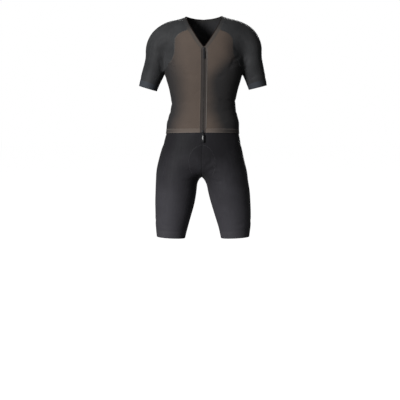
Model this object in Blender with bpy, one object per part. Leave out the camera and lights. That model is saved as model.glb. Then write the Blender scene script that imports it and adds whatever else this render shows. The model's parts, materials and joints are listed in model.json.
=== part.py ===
"""A one-piece triathlon suit: short raglan sleeves, a mesh front that zips to the hem, and shorts.

The suit keeps the hollow form that it has when it is worn. One smooth form gives that shape: a torso,
a neck, two arms and two legs, each lofted through a short table of sections and blended into the next.
Every cut piece of cloth is a grid laid on the form between its own seams, then given its wall.

Metres, +Z up. The front faces -Y and +X is the wearer's left. The origin lies between the shoulders.
"""

import math

import bmesh
import bpy
import numpy as np
from mathutils import Matrix, Vector

# ---------------------------------------------------------------- driving dimensions
WALL = 0.0016  # the knit with its seams and prints
SEAM_GAP = 0.0003  # between neighbouring pieces

HEM_FRONT = -0.4720  # the jersey's lower edge at the centre front
HEM_BACK = -0.4830  # the waist seam at the centre back
HEM_BAND = 0.0150
HEM_LIFT = 0.0036  # how far the free hem stands off the shorts under it
HEM_LIFT_HEIGHT = 0.0850
TUCK = 0.0280  # how far the shorts run up under the free hem
SIDE_SEAM = math.radians(97.0)  # round the torso from the centre front
SIDE_HOLD = math.radians(20.0)  # beside the side seam the hem lies flat on the shorts

TUCK_FADE = math.radians(25.0)  # over which the tuck runs out in front of that

NECK_BAND = 0.0130
NECK_BAND_POINT = 0.0070  # from the neck opening's lowest point down to the seam of its band
BINDING_WIDTH = 0.0030
BINDING_WALL = 0.0024
CUFF_BAND = 0.0240
LEG_BAND = 0.0290
SLEEVE_ROUNDED = 0.70  # the share of a sleeve's length by which it lies round the arm

TAPE_OUTER = 0.0115  # from the zip's middle to the outer edge of a tape
TAPE_INNER = 0.0026
TAPE_WALL = 0.0012
TAPE_FACE = -0.0002  # the tapes' outer face, out from the form
TAPE_TOP = -0.1212  # the tapes' top ends, which fall away from the zip's middle at this slope
TAPE_TOP_SLOPE = 0.5
CHAIN_HALF = 0.0023
CHAIN_WALL = 0.0020
CHAIN_FACE = 0.0004
V_POINT = -0.1200  # the lowest point of the neck opening
CHAIN_TOP = -0.1300
CHAIN_BOTTOM = -0.4670

# both sliders, with x across, up along the zip and out from the cloth, measured from the pull's axis
SLIDER_WIDTH = 0.0078
SLIDER_LENGTH = 0.0118
SLIDER_CORNER = 0.0022
PLATE = 0.0010
SLOT = 0.0026  # between the slider's plates, which hold the tapes and the coil
POST_WIDTH = 0.0030
POST_LENGTH = 0.0030
POST_CORNER = 0.0008
POST_INSET = 0.0006  # from the plates' end
BAIL_LENGTH = 0.0072
BAIL_HEIGHT = 0.0031
BAIL_STRIP = 0.0009
BAIL_WIDTH = 0.0020
AXIS_ABOVE_PLATE = 0.0011

# both pulls: the link is a flat frame whose bar runs under the bail
PULL_BAR = 0.0005  # half the bar's thickness
PULL_SIDE = 0.0011  # each side of the link
PULL_SLOT_WIDTH = 0.0032
PULL_SLOT_LENGTH = 0.0050
PULL_PLATE = 0.0011
LINK_CORNER = 0.0004
LINK_HELD = 0.0045  # how far the link runs into the grip
GRIP_CORNER = 0.42  # as a share of the grip's width

# how many cells each edge of a grid has
RAGLAN_STEPS = 11
SIDE_STEPS = 11
FRONT_STEPS = 10
BACK_STEPS = 22
NECK_SIDE_STEPS = 5
SLEEVE_STEPS = 15
SHORTS_ROUND = 22
RISE_STEPS = 9
THIGH_STEPS = 11
EVENING_PASSES = 6

COLLECTION = "triathlon_suit"
CUTTERS = "joined_shapes"


def table(columns, *rows):
    """Rows of sizes, returned as named columns."""
    return dict(zip(columns.split(), np.array(rows, float).T))


# each end of the zip: its pull's axis, whether its slider's post points up or down, and the pull's sizes,
# where the link is what shows above the grip
ZIP_ENDS = ("top", "lower")
ZIP_SIZES = table(
    "height post width link length grip",
    (-0.1295, 1, 0.0066, 0.0063, 0.0410, 0.0022),
    (-0.4675, -1, 0.0110, 0.0118, 0.0445, 0.0030),
)

# the centre line by height: the figure leans a little at the hips
CENTRE = table(
    "height middle",
    (-0.960, -0.0030),
    (-0.760, -0.0040),
    (-0.700, -0.0065),
    (-0.655, -0.0090),
    (-0.605, -0.0100),
    (-0.555, -0.0085),
    (-0.505, -0.0060),
    (-0.430, -0.0035),
    (-0.300, -0.0010),
    (-0.220, 0.0000),
    (-0.050, 0.0000),
)

# the torso by height, measured from the centre line
TORSO = table(
    "height half_width front back",
    (-0.700, 0.1640, 0.088, 0.100),
    (-0.655, 0.1740, 0.097, 0.122),
    (-0.605, 0.1710, 0.106, 0.128),
    (-0.555, 0.1670, 0.109, 0.122),
    (-0.505, 0.1575, 0.108, 0.108),
    (-0.460, 0.1500, 0.104, 0.096),
    (-0.430, 0.1490, 0.102, 0.091),
    (-0.405, 0.1435, 0.101, 0.088),
    (-0.355, 0.1343, 0.101, 0.088),
    (-0.300, 0.1420, 0.108, 0.097),
    (-0.250, 0.1555, 0.115, 0.107),
    (-0.200, 0.1660, 0.118, 0.115),
    (-0.150, 0.1660, 0.115, 0.117),
    (-0.100, 0.1600, 0.106, 0.112),
    (-0.050, 0.1400, 0.090, 0.098),
)
TORSO_POWER = 2.35  # 2 is an ellipse, and more is squarer
TORSO_TOP = -0.028
TORSO_BOTTOM = -0.650
TORSO_CAP = 0.060

NECK = {"x": 0.0625, "front": 0.058, "back": 0.058, "middle_y": 0.012, "low": -0.080}

# an arm from beside the neck, over the shoulder and down past the cuff
ARM = table(
    "x y height radius depth",
    (0.030, 0.012, -0.056, 0.058, 0.076),
    (0.075, 0.012, -0.057, 0.057, 0.076),
    (0.120, 0.011, -0.063, 0.056, 0.074),
    (0.163, 0.009, -0.079, 0.0555, 0.070),
    (0.187, 0.008, -0.112, 0.0535, 0.064),
    (0.1925, 0.008, -0.160, 0.0505, 0.058),
    (0.203, 0.008, -0.205, 0.0475, 0.055),
    (0.216, 0.009, -0.245, 0.0435, 0.052),
    (0.2275, 0.010, -0.287, 0.0395, 0.048),
    (0.2400, 0.011, -0.340, 0.0375, 0.045),
)
ARM_CUFF = -0.287  # the height of the arm's middle at the cuff's edge
# the right arm hangs a little lower than the left one and swings out further
ARM_DROP = {-1: 0.0015, 1: -0.0030}
ARM_SWING = {-1: 0.0070, 1: -0.0010}
SWING_FROM = -0.140

# a leg from inside the hip down past its hem
LEG = table(
    "x y height radius depth",
    (0.080, 0.004, -0.555, 0.062, 0.072),
    (0.093, 0.006, -0.610, 0.078, 0.096),
    (0.103, 0.006, -0.660, 0.0865, 0.106),
    (0.1105, 0.003, -0.708, 0.0868, 0.100),
    (0.1177, 0.000, -0.758, 0.0833, 0.092),
    (0.1252, -0.002, -0.8085, 0.0765, 0.083),
    (0.1320, -0.003, -0.859, 0.0690, 0.075),
    (0.1350, -0.003, -0.909, 0.0612, 0.068),
    (0.1375, -0.003, -0.965, 0.0560, 0.063),
)
LEG_HEM = -0.913
LEG_TILT = 0.0100  # a ring square to the leg is this much lower at the inside of the thigh

NECK_BLEND = 0.045
SHOULDER_BLEND = 0.050
ARMPIT_BLEND = 0.010
ARMPIT_TOP = -0.190  # below this the arm meets the torso in the armpit's tight fold
SHOULDER_RISE = 0.090  # over which that fold opens out into the shoulder
HIP_BLEND = 0.045
THIGH_BLEND = 0.018

# angles round the torso are measured on an oval of these half widths
RING_X = 0.15
RING_Y = 0.11
SIDE_SEAM_TURN = 0.55  # the share of the side seam above which it turns to the armpit

# where the centre seam of the shorts leaves the crotch: angles below level, seen from the side
RISE_LOW = -0.590
RISE_TURNS = np.radians([-90, -62, -38, -18, 0])
RISE_UPRIGHT_STEPS = 5

# the neck opening from the V's point up one side and round to the centre back
NECKLINE = table(
    "x y height",
    (0.0006, -0.112, -0.1200),
    (0.0255, -0.100, -0.0850),
    (0.0415, -0.088, -0.0590),
    (0.0570, -0.070, -0.0345),
    (0.0690, -0.036, -0.0070),
    (0.0735, 0.010, 0.0100),
    (0.0560, 0.052, 0.0100),
    (0.0300, 0.069, 0.0060),
    (0.0000, 0.074, 0.0040),
)
NECK_FRONT_SPAN = 0.30  # the share of that line along the front panel
NECK_SIDE_SPAN = 0.40  # the share along the sleeve

# the front raglan seam from the neck band to the armpit
RAGLAN_FRONT = table(
    "x y height",
    (0.078, -0.080, -0.0560),
    (0.100, -0.085, -0.0610),
    (0.117, -0.085, -0.0680),
    (0.1245, -0.088, -0.0850),
    (0.1245, -0.095, -0.1240),
    (0.1290, -0.092, -0.1600),
    (0.1470, -0.070, -0.1870),
    (0.1600, -0.038, -0.2100),
)
RAGLAN_BACK = table(
    "x y height",
    (0.090, 0.095, -0.0450),
    (0.118, 0.100, -0.1000),
    (0.138, 0.088, -0.1550),
    (0.156, 0.050, -0.2020),
)
ARMPIT = (0.1665, 0.004, -0.2225)


# ---------------------------------------------------------------- the form under the cloth
def smooth_curve(knots, values, places):
    """A cubic through a table's column, level past its ends."""
    order = np.argsort(knots)
    knots, values = knots[order], values[order]
    slopes = np.gradient(values, knots)
    low = np.clip(np.searchsorted(knots, places) - 1, 0, len(knots) - 2)
    span = knots[low + 1] - knots[low]
    t = np.clip((places - knots[low]) / span, 0, 1)
    a = (1 + 2 * t) * (1 - t) ** 2
    b = t * (1 - t) ** 2 * span
    c = t**2 * (3 - 2 * t)
    d = t**2 * (t - 1) * span
    return a * values[low] + b * slopes[low] + c * values[low + 1] + d * slopes[low + 1]


def step(amount):
    """0 to 1 with level ends."""
    t = np.clip(amount, 0, 1)
    return t * t * (3 - 2 * t)


def blend_min(a, b, width):
    near = np.maximum(width - np.abs(a - b), 0) / width
    return np.minimum(a, b) - near**2 * width / 4


def blend_max(a, b, width):
    return -blend_min(-a, -b, width)


def middle_x(height):
    return smooth_curve(CENTRE["height"], CENTRE["middle"], height)


class Limb:
    """A tube of elliptical sections along a spine in the XZ plane."""

    STEPS = 44
    REACH = 0.004  # either side of a place, for the spine's direction there

    def __init__(self, rows, side, drop=0.0, swing=0.0, middle=0.0):
        self.side = side
        z = rows["height"] - drop
        lower = np.clip((SWING_FROM - z) / (SWING_FROM - ARM_CUFF), 0, None)
        x = (rows["x"] + swing * lower) * side + middle
        knots = np.concatenate([[0], np.cumsum(np.hypot(np.diff(x), np.diff(z)))])
        self.length = np.linspace(0, knots[-1], self.STEPS)
        self.x = smooth_curve(knots, x, self.length)
        self.z = smooth_curve(knots, z, self.length)
        self.y = smooth_curve(knots, rows["y"], self.length)
        self.radius = smooth_curve(knots, rows["radius"], self.length)
        self.depth = smooth_curve(knots, rows["depth"], self.length)

    def nearest(self, points):
        """How far along the spine each point lies, and its squared distance from it in XZ."""
        start = np.stack([self.x[:-1], self.z[:-1]], axis=1)
        span = np.stack([np.diff(self.x), np.diff(self.z)], axis=1)
        away = points[:, None, [0, 2]] - start
        t = np.clip((away * span).sum(2) / (span**2).sum(1), 0, 1)
        squared = ((away - t[..., None] * span) ** 2).sum(2)
        best = squared.argmin(1)
        rows = np.arange(len(points))
        pitch = self.length[1]
        return (best + t[rows, best]) * pitch, squared[rows, best]

    def at(self, name, length):
        return np.interp(length, self.length, getattr(self, name))

    def field(self, points):
        length, squared = self.nearest(points)
        across = points[:, 1] - self.at("y", length)
        radius, depth = self.at("radius", length), self.at("depth", length)
        scaled = np.sqrt(squared / radius**2 + across**2 / depth**2) + 1e-9
        return np.sqrt(squared + across**2) * (1 - 1 / scaled)

    def outward(self, length):
        """The unit normal of the spine that points away from the body's middle."""
        ahead, behind = length + self.REACH, length - self.REACH
        dx = self.at("x", ahead) - self.at("x", behind)
        dz = self.at("z", ahead) - self.at("z", behind)
        size = np.hypot(dx, dz)
        return -dz / size * self.side, dx / size * self.side

    def place(self, length, angle):
        """A point of the spine, and one beyond it at an angle: 0 is outward, a quarter turn is the front."""
        nx, nz = self.outward(length)
        radius, depth = self.at("radius", length), self.at("depth", length)
        spine = np.stack([self.at(name, length) for name in ("x", "y", "z")], axis=-1)
        reach = np.stack(
            [nx * radius * np.cos(angle), -depth * np.sin(angle), nz * radius * np.cos(angle)],
            axis=-1,
        )
        return spine, spine + reach

    def locate(self, points):
        """The length and angle of points near the tube, and their distance as a share of its size."""
        length, _ = self.nearest(points)
        nx, nz = self.outward(length)
        away = points - np.stack([self.at(name, length) for name in ("x", "y", "z")], axis=1)
        out = (away[:, 0] * nx + away[:, 2] * nz) / self.at("radius", length)
        front = -away[:, 1] / self.at("depth", length)
        return length, np.arctan2(front, out), np.hypot(front, out)

    def length_at_height(self, height):
        return float(np.interp(-height, -self.z, self.length))


ARMS = {side: Limb(ARM, side, ARM_DROP[side], ARM_SWING[side]) for side in (-1, 1)}
LEGS = {side: Limb(LEG, side, middle=middle_x(LEG["height"])) for side in (-1, 1)}


def torso_field(points):
    x, y, z = points.T
    across = x - middle_x(z)
    half = smooth_curve(TORSO["height"], TORSO["half_width"], z)
    front = smooth_curve(TORSO["height"], TORSO["front"], z)
    back = smooth_curve(TORSO["height"], TORSO["back"], z)
    deep = np.where(y < 0, front, back)
    power = TORSO_POWER
    scaled = (np.abs(across / half) ** power + np.abs(y / deep) ** power) ** (1 / power) + 1e-9
    side = np.hypot(across, y) * (1 - 1 / scaled)
    side = blend_max(side, z - TORSO_TOP, TORSO_CAP)
    return blend_max(side, TORSO_BOTTOM - z, TORSO_CAP)


def neck_field(points):
    y = points[:, 1] - NECK["middle_y"]
    deep = np.where(y < 0, NECK["front"], NECK["back"])
    scaled = np.hypot(points[:, 0] / NECK["x"], y / deep) + 1e-9
    return np.maximum(np.hypot(points[:, 0], y) * (1 - 1 / scaled), NECK["low"] - points[:, 2])


def form(points):
    """Below zero inside the worn suit, zero on the outer face of its cloth."""
    arms = np.minimum(ARMS[-1].field(points), ARMS[1].field(points))
    legs = blend_min(LEGS[-1].field(points), LEGS[1].field(points), THIGH_BLEND)
    high = step((points[:, 2] - ARMPIT_TOP) / SHOULDER_RISE)
    body = blend_min(torso_field(points), neck_field(points), NECK_BLEND)
    body = blend_min(body, arms, ARMPIT_BLEND + (SHOULDER_BLEND - ARMPIT_BLEND) * high)
    return blend_min(body, legs, HIP_BLEND)


def form_normals(points):
    reach = 0.0005
    slopes = [
        form(points + reach * axis) - form(points - reach * axis) for axis in np.eye(3)
    ]
    normals = np.stack(slopes, axis=1)
    return normals / np.linalg.norm(normals, axis=1, keepdims=True)


def settle(points):
    """Points near the form, moved on to it along its slope."""
    points = np.array(points, float)
    for _ in range(5):
        points -= form(points)[:, None] * form_normals(points)
    return points


def cast(origins, targets):
    """Where lines from inside the form, through the targets, first leave it."""
    stride, farthest, halvings = 0.008, 0.26, 18
    heading = targets - origins
    heading /= np.linalg.norm(heading, axis=1, keepdims=True)
    near = np.zeros(len(origins))
    far = np.full(len(origins), farthest)
    found = np.zeros(len(origins), bool)
    for reach in np.arange(stride, farthest, stride):
        outside = form(origins + heading * reach) > 0
        far = np.where(~found & outside, reach, far)
        near = np.where(~found & ~outside, reach, near)
        found |= outside
    for _ in range(halvings):
        halfway = (near + far) / 2
        outside = form(origins + heading * halfway[:, None]) > 0
        far = np.where(outside, halfway, far)
        near = np.where(outside, near, halfway)
    return origins + heading * ((near + far) / 2)[:, None]


def on_front(x, height):
    """The front of the form at given places of the front view."""
    origins = np.stack([x, np.full_like(x, -0.02), height], axis=1)
    return cast(origins, origins + (0, -1, 0))


def on_ring(angle, height):
    """The form at an angle round the torso: 0 is the centre front, and positive turns to +X."""
    origins = np.stack([middle_x(height), np.zeros_like(height), height], axis=1)
    heading = np.stack([RING_X * np.sin(angle), -RING_Y * np.cos(angle), 0 * angle], axis=1)
    return cast(origins, origins + heading)


# ---------------------------------------------------------------- seams
def resample(points, count, spacing=None):
    """A smooth curve through the points, at even steps of its length or at given shares of it."""
    points = np.asarray(points, float)
    knots = np.concatenate([[0], np.cumsum(np.linalg.norm(np.diff(points, axis=0), axis=1))])
    shares = np.linspace(0, 1, count + 1) if spacing is None else spacing
    places = shares * knots[-1]
    return np.stack([smooth_curve(knots, column, places) for column in points.T], axis=1)


def on_side(points, side):
    return np.asarray(points, float) * (side, 1, 1)


def rows_of(sizes, side):
    return on_side(np.stack([sizes["x"], sizes["y"], sizes["height"]], axis=1), side)


def hem_height(angle):
    """The hem's height round the torso."""
    turn = (1 - np.cos(angle)) / 2
    return HEM_FRONT + (HEM_BACK - HEM_FRONT) * turn


def neck_edges(side):
    """The neck opening's edge and the line that the neck band is sewn along, on one side."""
    count = FRONT_STEPS + NECK_SIDE_STEPS + BACK_STEPS // 2
    front = np.linspace(0, NECK_FRONT_SPAN, FRONT_STEPS + 1)
    beside = NECK_FRONT_SPAN + NECK_SIDE_SPAN * np.linspace(0, 1, NECK_SIDE_STEPS + 1)[1:]
    behind = np.linspace(NECK_FRONT_SPAN + NECK_SIDE_SPAN, 1, BACK_STEPS // 2 + 1)[1:]
    shares = np.concatenate([front, beside, behind])
    inner = settle(resample(rows_of(NECKLINE, side), count, shares))
    along = np.gradient(inner, axis=0)
    along[-1] = (-side, 0, 0)
    away = np.cross(form_normals(inner), along)
    away *= -side / np.linalg.norm(away, axis=1, keepdims=True)
    outer = settle(inner + away * NECK_BAND)
    corner = np.array([side * TAPE_OUTER + middle_x(V_POINT)])
    outer[0] = on_front(corner, np.array([V_POINT - NECK_BAND_POINT]))[0]
    return inner, outer


def raglan(side, neck_end, sizes):
    """A raglan seam from the neck band to the armpit."""
    points = np.vstack([neck_end, rows_of(sizes, side), on_side(ARMPIT, side)])
    return settle(resample(settle(points), RAGLAN_STEPS))


def side_seam(side, armpit):
    """From the hem up to the armpit."""
    angle = np.full(SIDE_STEPS + 1, side * SIDE_SEAM)
    low = hem_height(SIDE_SEAM)
    height = np.linspace(low, armpit[2], SIDE_STEPS + 1)
    line = on_ring(angle, height)
    share = np.linspace(0, 1, SIDE_STEPS + 1)
    turn = step((share - SIDE_SEAM_TURN) / (1 - SIDE_SEAM_TURN))[:, None]
    return settle(line + turn * (armpit - line[-1]))


def coons(bottom, top, left, right):
    """A grid between four edges: left and right run up the rows, bottom and top across them."""
    v = np.linspace(0, 1, len(left))[:, None, None]
    u = np.linspace(0, 1, len(bottom))[None, :, None]
    across = (1 - v) * bottom[None] + v * top[None]
    up = (1 - u) * left[:, None] + u * right[:, None]
    corners = (1 - v) * ((1 - u) * bottom[0] + u * bottom[-1]) + v * ((1 - u) * top[0] + u * top[-1])
    return across + up - corners


def laid(grid, closed=False):
    """A grid's inner points settled on to the form and evened out, its edges kept."""
    grid = grid.copy()
    for _ in range(EVENING_PASSES):
        held = grid[1:-1] if closed else grid[1:-1, 1:-1]
        held[:] = settle(held.reshape(-1, 3)).reshape(held.shape)
        if closed:
            beside = np.roll(grid, 1, axis=1)[1:-1] + np.roll(grid, -1, axis=1)[1:-1]
            above = grid[:-2] + grid[2:]
        else:
            beside = grid[1:-1, :-2] + grid[1:-1, 2:]
            above = grid[:-2, 1:-1] + grid[2:, 1:-1]
        held[:] = held / 2 + (beside + above) / 8
    held[:] = settle(held.reshape(-1, 3)).reshape(held.shape)
    return grid


# ---------------------------------------------------------------- walls
SPLIT_ORDER = (0.37, 0.23, 1.0)  # a direction that few seams run square to


def pulled_back(grid, normals, closed):
    """The grid with half a seam's gap taken off each edge."""
    out = grid.copy()

    def pull(edge, inner, line_normals, line_closed):
        if line_closed:
            along = np.roll(edge, -1, axis=0) - np.roll(edge, 1, axis=0)
        else:
            along = np.gradient(edge, axis=0)
        away = np.cross(line_normals, along)
        away /= np.linalg.norm(away, axis=1, keepdims=True)
        away *= np.sign(((inner - edge) * away).sum(1, keepdims=True))
        return away * SEAM_GAP / 2

    out[0] += pull(grid[0], grid[1], normals[0], closed)
    out[-1] += pull(grid[-1], grid[-2], normals[-1], closed)
    if not closed:
        out[:, 0] += pull(grid[:, 0], grid[:, 1], normals[:, 0], False)
        out[:, -1] += pull(grid[:, -1], grid[:, -2], normals[:, -1], False)
    return out


def wall(name, grid, finish, closed=False, lift=0.0, thickness=WALL):
    """A closed wall whose outer face is the grid, lifted off the form, with its thickness inside it."""
    rows, columns = grid.shape[:2]
    normals = form_normals(grid.reshape(-1, 3)).reshape(grid.shape)
    grid = pulled_back(grid, normals, closed)
    lift = np.broadcast_to(lift, (rows, columns))[..., None]
    faces_of = [grid + normals * lift, grid + normals * (lift - thickness)]

    mesh = bmesh.new()
    layers = [
        [[mesh.verts.new(point) for point in line] for line in layer] for layer in faces_of
    ]
    outer, inner = layers
    spans = columns if closed else columns - 1

    def rim(a, b):
        # both pieces of a seam split their rims along the same diagonal, so that neither cuts the other
        rank = [point.co.dot(Vector(SPLIT_ORDER)) for point in (a[0], b[0])]
        if rank[0] < rank[1]:
            mesh.faces.new((a[0], b[0], b[1]))
            mesh.faces.new((a[0], b[1], a[1]))
        else:
            mesh.faces.new((a[0], b[0], a[1]))
            mesh.faces.new((b[0], b[1], a[1]))

    for i in range(rows - 1):
        for j in range(spans):
            k = (j + 1) % columns
            mesh.faces.new((outer[i][j], outer[i][k], outer[i + 1][k], outer[i + 1][j]))
            mesh.faces.new((inner[i][j], inner[i + 1][j], inner[i + 1][k], inner[i][k]))
    pairs = [list(zip(*lines)) for lines in zip(outer, inner)]
    for j in range(spans):
        k = (j + 1) % columns
        rim(pairs[0][k], pairs[0][j])
        rim(pairs[-1][j], pairs[-1][k])
    if not closed:
        for i in range(rows - 1):
            rim(pairs[i][0], pairs[i + 1][0])
            rim(pairs[i + 1][-1], pairs[i][-1])
    return finished(name, mesh, finish)


def finished(name, mesh, finish):
    """The bmesh as a smooth-shaded object of the suit's collection, with its own material."""
    if mesh.calc_volume(signed=True) < 0:
        bmesh.ops.reverse_faces(mesh, faces=mesh.faces)
    data = bpy.data.meshes.new(name)
    mesh.to_mesh(data)
    mesh.free()
    data.shade_smooth()
    data.set_sharp_from_angle(angle=math.radians(50))
    obj = bpy.data.objects.new(name, data)
    bpy.data.collections[COLLECTION].objects.link(obj)
    colour, roughness, metallic = finish
    material = bpy.data.materials.new(name)
    material.use_nodes = True
    shader = material.node_tree.nodes["Principled BSDF"]
    shader.inputs["Base Color"].default_value = (*colour, 1)
    shader.inputs["Roughness"].default_value = roughness
    shader.inputs["Metallic"].default_value = metallic
    data.materials.append(material)
    return obj


# ---------------------------------------------------------------- colour, roughness and metallic value
SLEEVE_KNIT = ((0.030, 0.031, 0.034), 0.55, 0.0)
FRONT_MESH = ((0.080, 0.065, 0.055), 0.75, 0.0)
BACK_KNIT = ((0.030, 0.030, 0.033), 0.65, 0.0)
SHORTS_KNIT = ((0.014, 0.014, 0.017), 0.60, 0.0)
BAND_KNIT = ((0.040, 0.044, 0.052), 0.60, 0.0)
HEM_TAPE = ((0.105, 0.090, 0.078), 0.70, 0.0)
NECK_TAPE = ((0.075, 0.070, 0.066), 0.70, 0.0)
BINDING = ((0.030, 0.020, 0.015), 0.70, 0.0)
ZIP_TAPE = ((0.035, 0.034, 0.034), 0.70, 0.0)
ZIP_COIL = ((0.050, 0.050, 0.050), 0.45, 0.0)
ZIP_METAL = ((0.060, 0.060, 0.062), 0.35, 1.0)
PULL_RUBBER = ((0.012, 0.012, 0.013), 0.50, 0.0)


# ---------------------------------------------------------------- cloth pieces
def hem_lift(angle, height):
    """How far the jersey's free front stands off the form."""
    below = step((hem_height(angle) + HEM_LIFT_HEIGHT - height) / (HEM_LIFT_HEIGHT / 2))
    return HEM_LIFT * below * step((SIDE_SEAM - np.abs(angle)) / SIDE_HOLD)


def ring_angles(grid, side):
    """How far round the torso each point of a grid lies."""
    x = (grid[..., 0] - middle_x(grid[..., 2])) / RING_X
    return np.abs(np.arctan2(x * side, -grid[..., 1] / RING_Y))


def front_piece(name, side, seams):
    """A mesh front, from the zip's tape to the side seam and from the hem band to the neck band."""
    outer_edge = np.vstack([seams["side"], seams["raglan_front"][-2::-1]])
    top = seams["neck_outer"][: FRONT_STEPS + 1]
    heights = np.linspace(HEM_FRONT + HEM_BAND, top[0, 2], len(outer_edge))
    inner_edge = on_front(middle_x(heights) + side * TAPE_OUTER, heights)
    inner_edge[-1] = top[0]
    outer_edge[0] = side_point(side, outer_edge[0, 2] + HEM_BAND)
    angles = np.linspace(math.asin(TAPE_OUTER / RING_X), SIDE_SEAM, FRONT_STEPS + 1)
    bottom = on_ring(side * angles, hem_height(angles) + HEM_BAND)
    bottom[0], bottom[-1] = inner_edge[0], outer_edge[0]
    grid = laid(coons(bottom, top, inner_edge, outer_edge))
    lift = hem_lift(ring_angles(grid, side), grid[..., 2])
    wall(name, grid, FRONT_MESH, lift=lift)
    band_rows = [hem_height(angles), hem_height(angles) + HEM_BAND / 2]
    band = np.stack([on_ring(side * angles, heights) for heights in band_rows] + [bottom])
    for row, heights in zip(band, band_rows):
        row[0] = on_front(middle_x(heights[:1]) + side * TAPE_OUTER, heights[:1])[0]
    lift = hem_lift(ring_angles(band, side), band[..., 2])
    wall(name.replace("front_mesh", "hem_band"), band, HEM_TAPE, lift=lift)


def side_point(side, height):
    return on_ring(np.array([side * SIDE_SEAM]), np.array([height]))[0]


def back_piece(seams):
    """The back, from the waist seam to the neck band and between the side and raglan seams."""
    edges = {}
    for side in (-1, 1):
        parts = [seams[side]["side"], seams[side]["raglan_back"][-2::-1]]
        edges[side] = np.vstack(parts)
    angles = np.linspace(SIDE_SEAM, 2 * math.pi - SIDE_SEAM, BACK_STEPS + 1)
    bottom = on_ring(angles, hem_height(angles))
    bottom[0], bottom[-1] = edges[1][0], edges[-1][0]
    start = FRONT_STEPS + NECK_SIDE_STEPS
    right, left = seams[1]["neck_outer"][start:], seams[-1]["neck_outer"][start:]
    top = np.vstack([right, left[-2::-1]])
    grid = coons(bottom, top, edges[1], edges[-1])
    wall("back_panel", laid(grid), BACK_KNIT)


def sleeve_piece(side, word, seams):
    """A raglan sleeve with the shoulder in one, and the band that grips the arm below it."""
    arm = ARMS[side]
    neck = seams["neck_outer"][FRONT_STEPS : FRONT_STEPS + NECK_SIDE_STEPS + 1]
    loop = np.vstack([seams["raglan_front"][::-1], neck[1:-1], seams["raglan_back"][:-1]])
    length, angle, reach = arm.locate(loop)
    # the loop starts in the armpit, where the angle may read as half a turn either way
    angle[:2] = np.abs(angle[:2])
    angle = np.unwrap(angle)
    seam_end = arm.length_at_height(ARM_CUFF - ARM_DROP[side]) - CUFF_BAND
    even = math.pi - np.arange(len(loop)) * 2 * math.pi / len(loop)
    rows = [loop]
    for share in np.linspace(0, 1, SLEEVE_STEPS + 1)[1:]:
        place = length + (seam_end - length) * share
        turn = angle + (even - angle) * step(share)
        spine, beyond = arm.place(place, turn)
        away = reach + (1 - reach) * step(share / SLEEVE_ROUNDED)
        rows.append(spine + (beyond - spine) * away[:, None])
    rows[-1] = settle(rows[-1])
    wall(f"sleeve_{word}", laid(np.stack(rows), closed=True), SLEEVE_KNIT, closed=True)
    band = [rows[-1]]
    for share in (0.5, 1.0):
        spine, beyond = arm.place(np.full(len(loop), seam_end + CUFF_BAND * share), even)
        band.append(cast(spine, beyond))
    wall(f"cuff_band_{word}", np.stack(band), BAND_KNIT, closed=True)


def rise(direction):
    """The centre seam of the shorts from the crotch to the waist: -1 is in front and 1 behind."""
    top = HEM_FRONT + TUCK if direction < 0 else HEM_BACK
    turns = RISE_TURNS
    under = np.stack([0 * turns, direction * np.cos(turns), np.sin(turns)], axis=1)
    centre = np.array([float(middle_x(RISE_LOW)), 0, RISE_LOW])
    corner = cast(np.repeat(centre[None], len(turns), 0), centre + under)
    heights = np.linspace(corner[-1, 2], top, RISE_UPRIGHT_STEPS + 1)[1:]
    origins = np.stack([middle_x(heights), 0 * heights, heights], axis=1)
    upright = cast(origins, origins + (0, direction, 0))
    return np.vstack([corner, upright])


def shorts_piece(side, word):
    """One leg of the shorts, cut in one from the inseam round to the inseam, with its band."""
    leg = LEGS[side]
    turns = math.pi - np.linspace(0, 1, SHORTS_ROUND + 1) * 2 * math.pi
    front, back = (resample(rise(way), RISE_STEPS) for way in (-1, 1))
    front, back = settle(front), settle(back)
    front[:, 0], back[:, 0] = middle_x(front[:, 2]), middle_x(back[:, 2])
    crotch_at = leg.length_at_height(front[0, 2] + LEG_TILT)
    hem_at = leg.length_at_height(LEG_HEM) - LEG_BAND
    thigh = []
    for share in np.linspace(0, 1, THIGH_STEPS + 1):
        place = np.full(SHORTS_ROUND + 1, hem_at + (crotch_at - hem_at) * share)
        spine, beyond = leg.place(place, turns)
        thigh.append(settle(beyond))
    thigh = np.stack(thigh)
    thigh[-1, 0] = thigh[-1, -1] = front[0]
    back[0] = front[0]
    angles = np.linspace(0, math.pi, SHORTS_ROUND + 1)
    tuck = TUCK * step((SIDE_SEAM - SIDE_HOLD - angles) / TUCK_FADE)
    waist = on_ring(side * angles, hem_height(angles) + tuck)
    waist[0], waist[-1] = front[-1], back[-1]
    grid = np.concatenate([thigh[:-1], coons(thigh[-1], waist, front, back)])
    wall(f"shorts_{word}", laid(grid), SHORTS_KNIT)

    band = [thigh[0, :-1]]
    for share in (0.5, 1.0):
        place = np.full(SHORTS_ROUND, hem_at + LEG_BAND * share)
        spine, beyond = leg.place(place, turns[:-1])
        band.append(cast(spine, beyond))
    wall(f"leg_band_{word}", np.stack(band), BAND_KNIT, closed=True)


def neck_pieces(seams):
    """The band round the neck opening, and the narrow binding over its edge."""
    inner = np.vstack([seams[-1]["neck_inner"], seams[1]["neck_inner"][-2::-1]])
    outer = np.vstack([seams[-1]["neck_outer"], seams[1]["neck_outer"][-2::-1]])
    share = BINDING_WIDTH / NECK_BAND
    edge = inner + (outer - inner) * share
    middle = (edge + outer) / 2
    wall("neck_band", settled(np.stack([outer, middle, edge])), NECK_TAPE)
    raised = (BINDING_WALL - WALL) / 2
    wall("neck_binding", settled(np.stack([edge, inner])), BINDING, lift=raised, thickness=BINDING_WALL)


def settled(grid):
    return settle(grid.reshape(-1, 3)).reshape(grid.shape)


def zip_lift(height):
    """How far the zip stands off the form with the jersey's free hem."""
    return HEM_LIFT * step((HEM_FRONT + HEM_LIFT_HEIGHT - height) / (HEM_LIFT_HEIGHT / 2))


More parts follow.
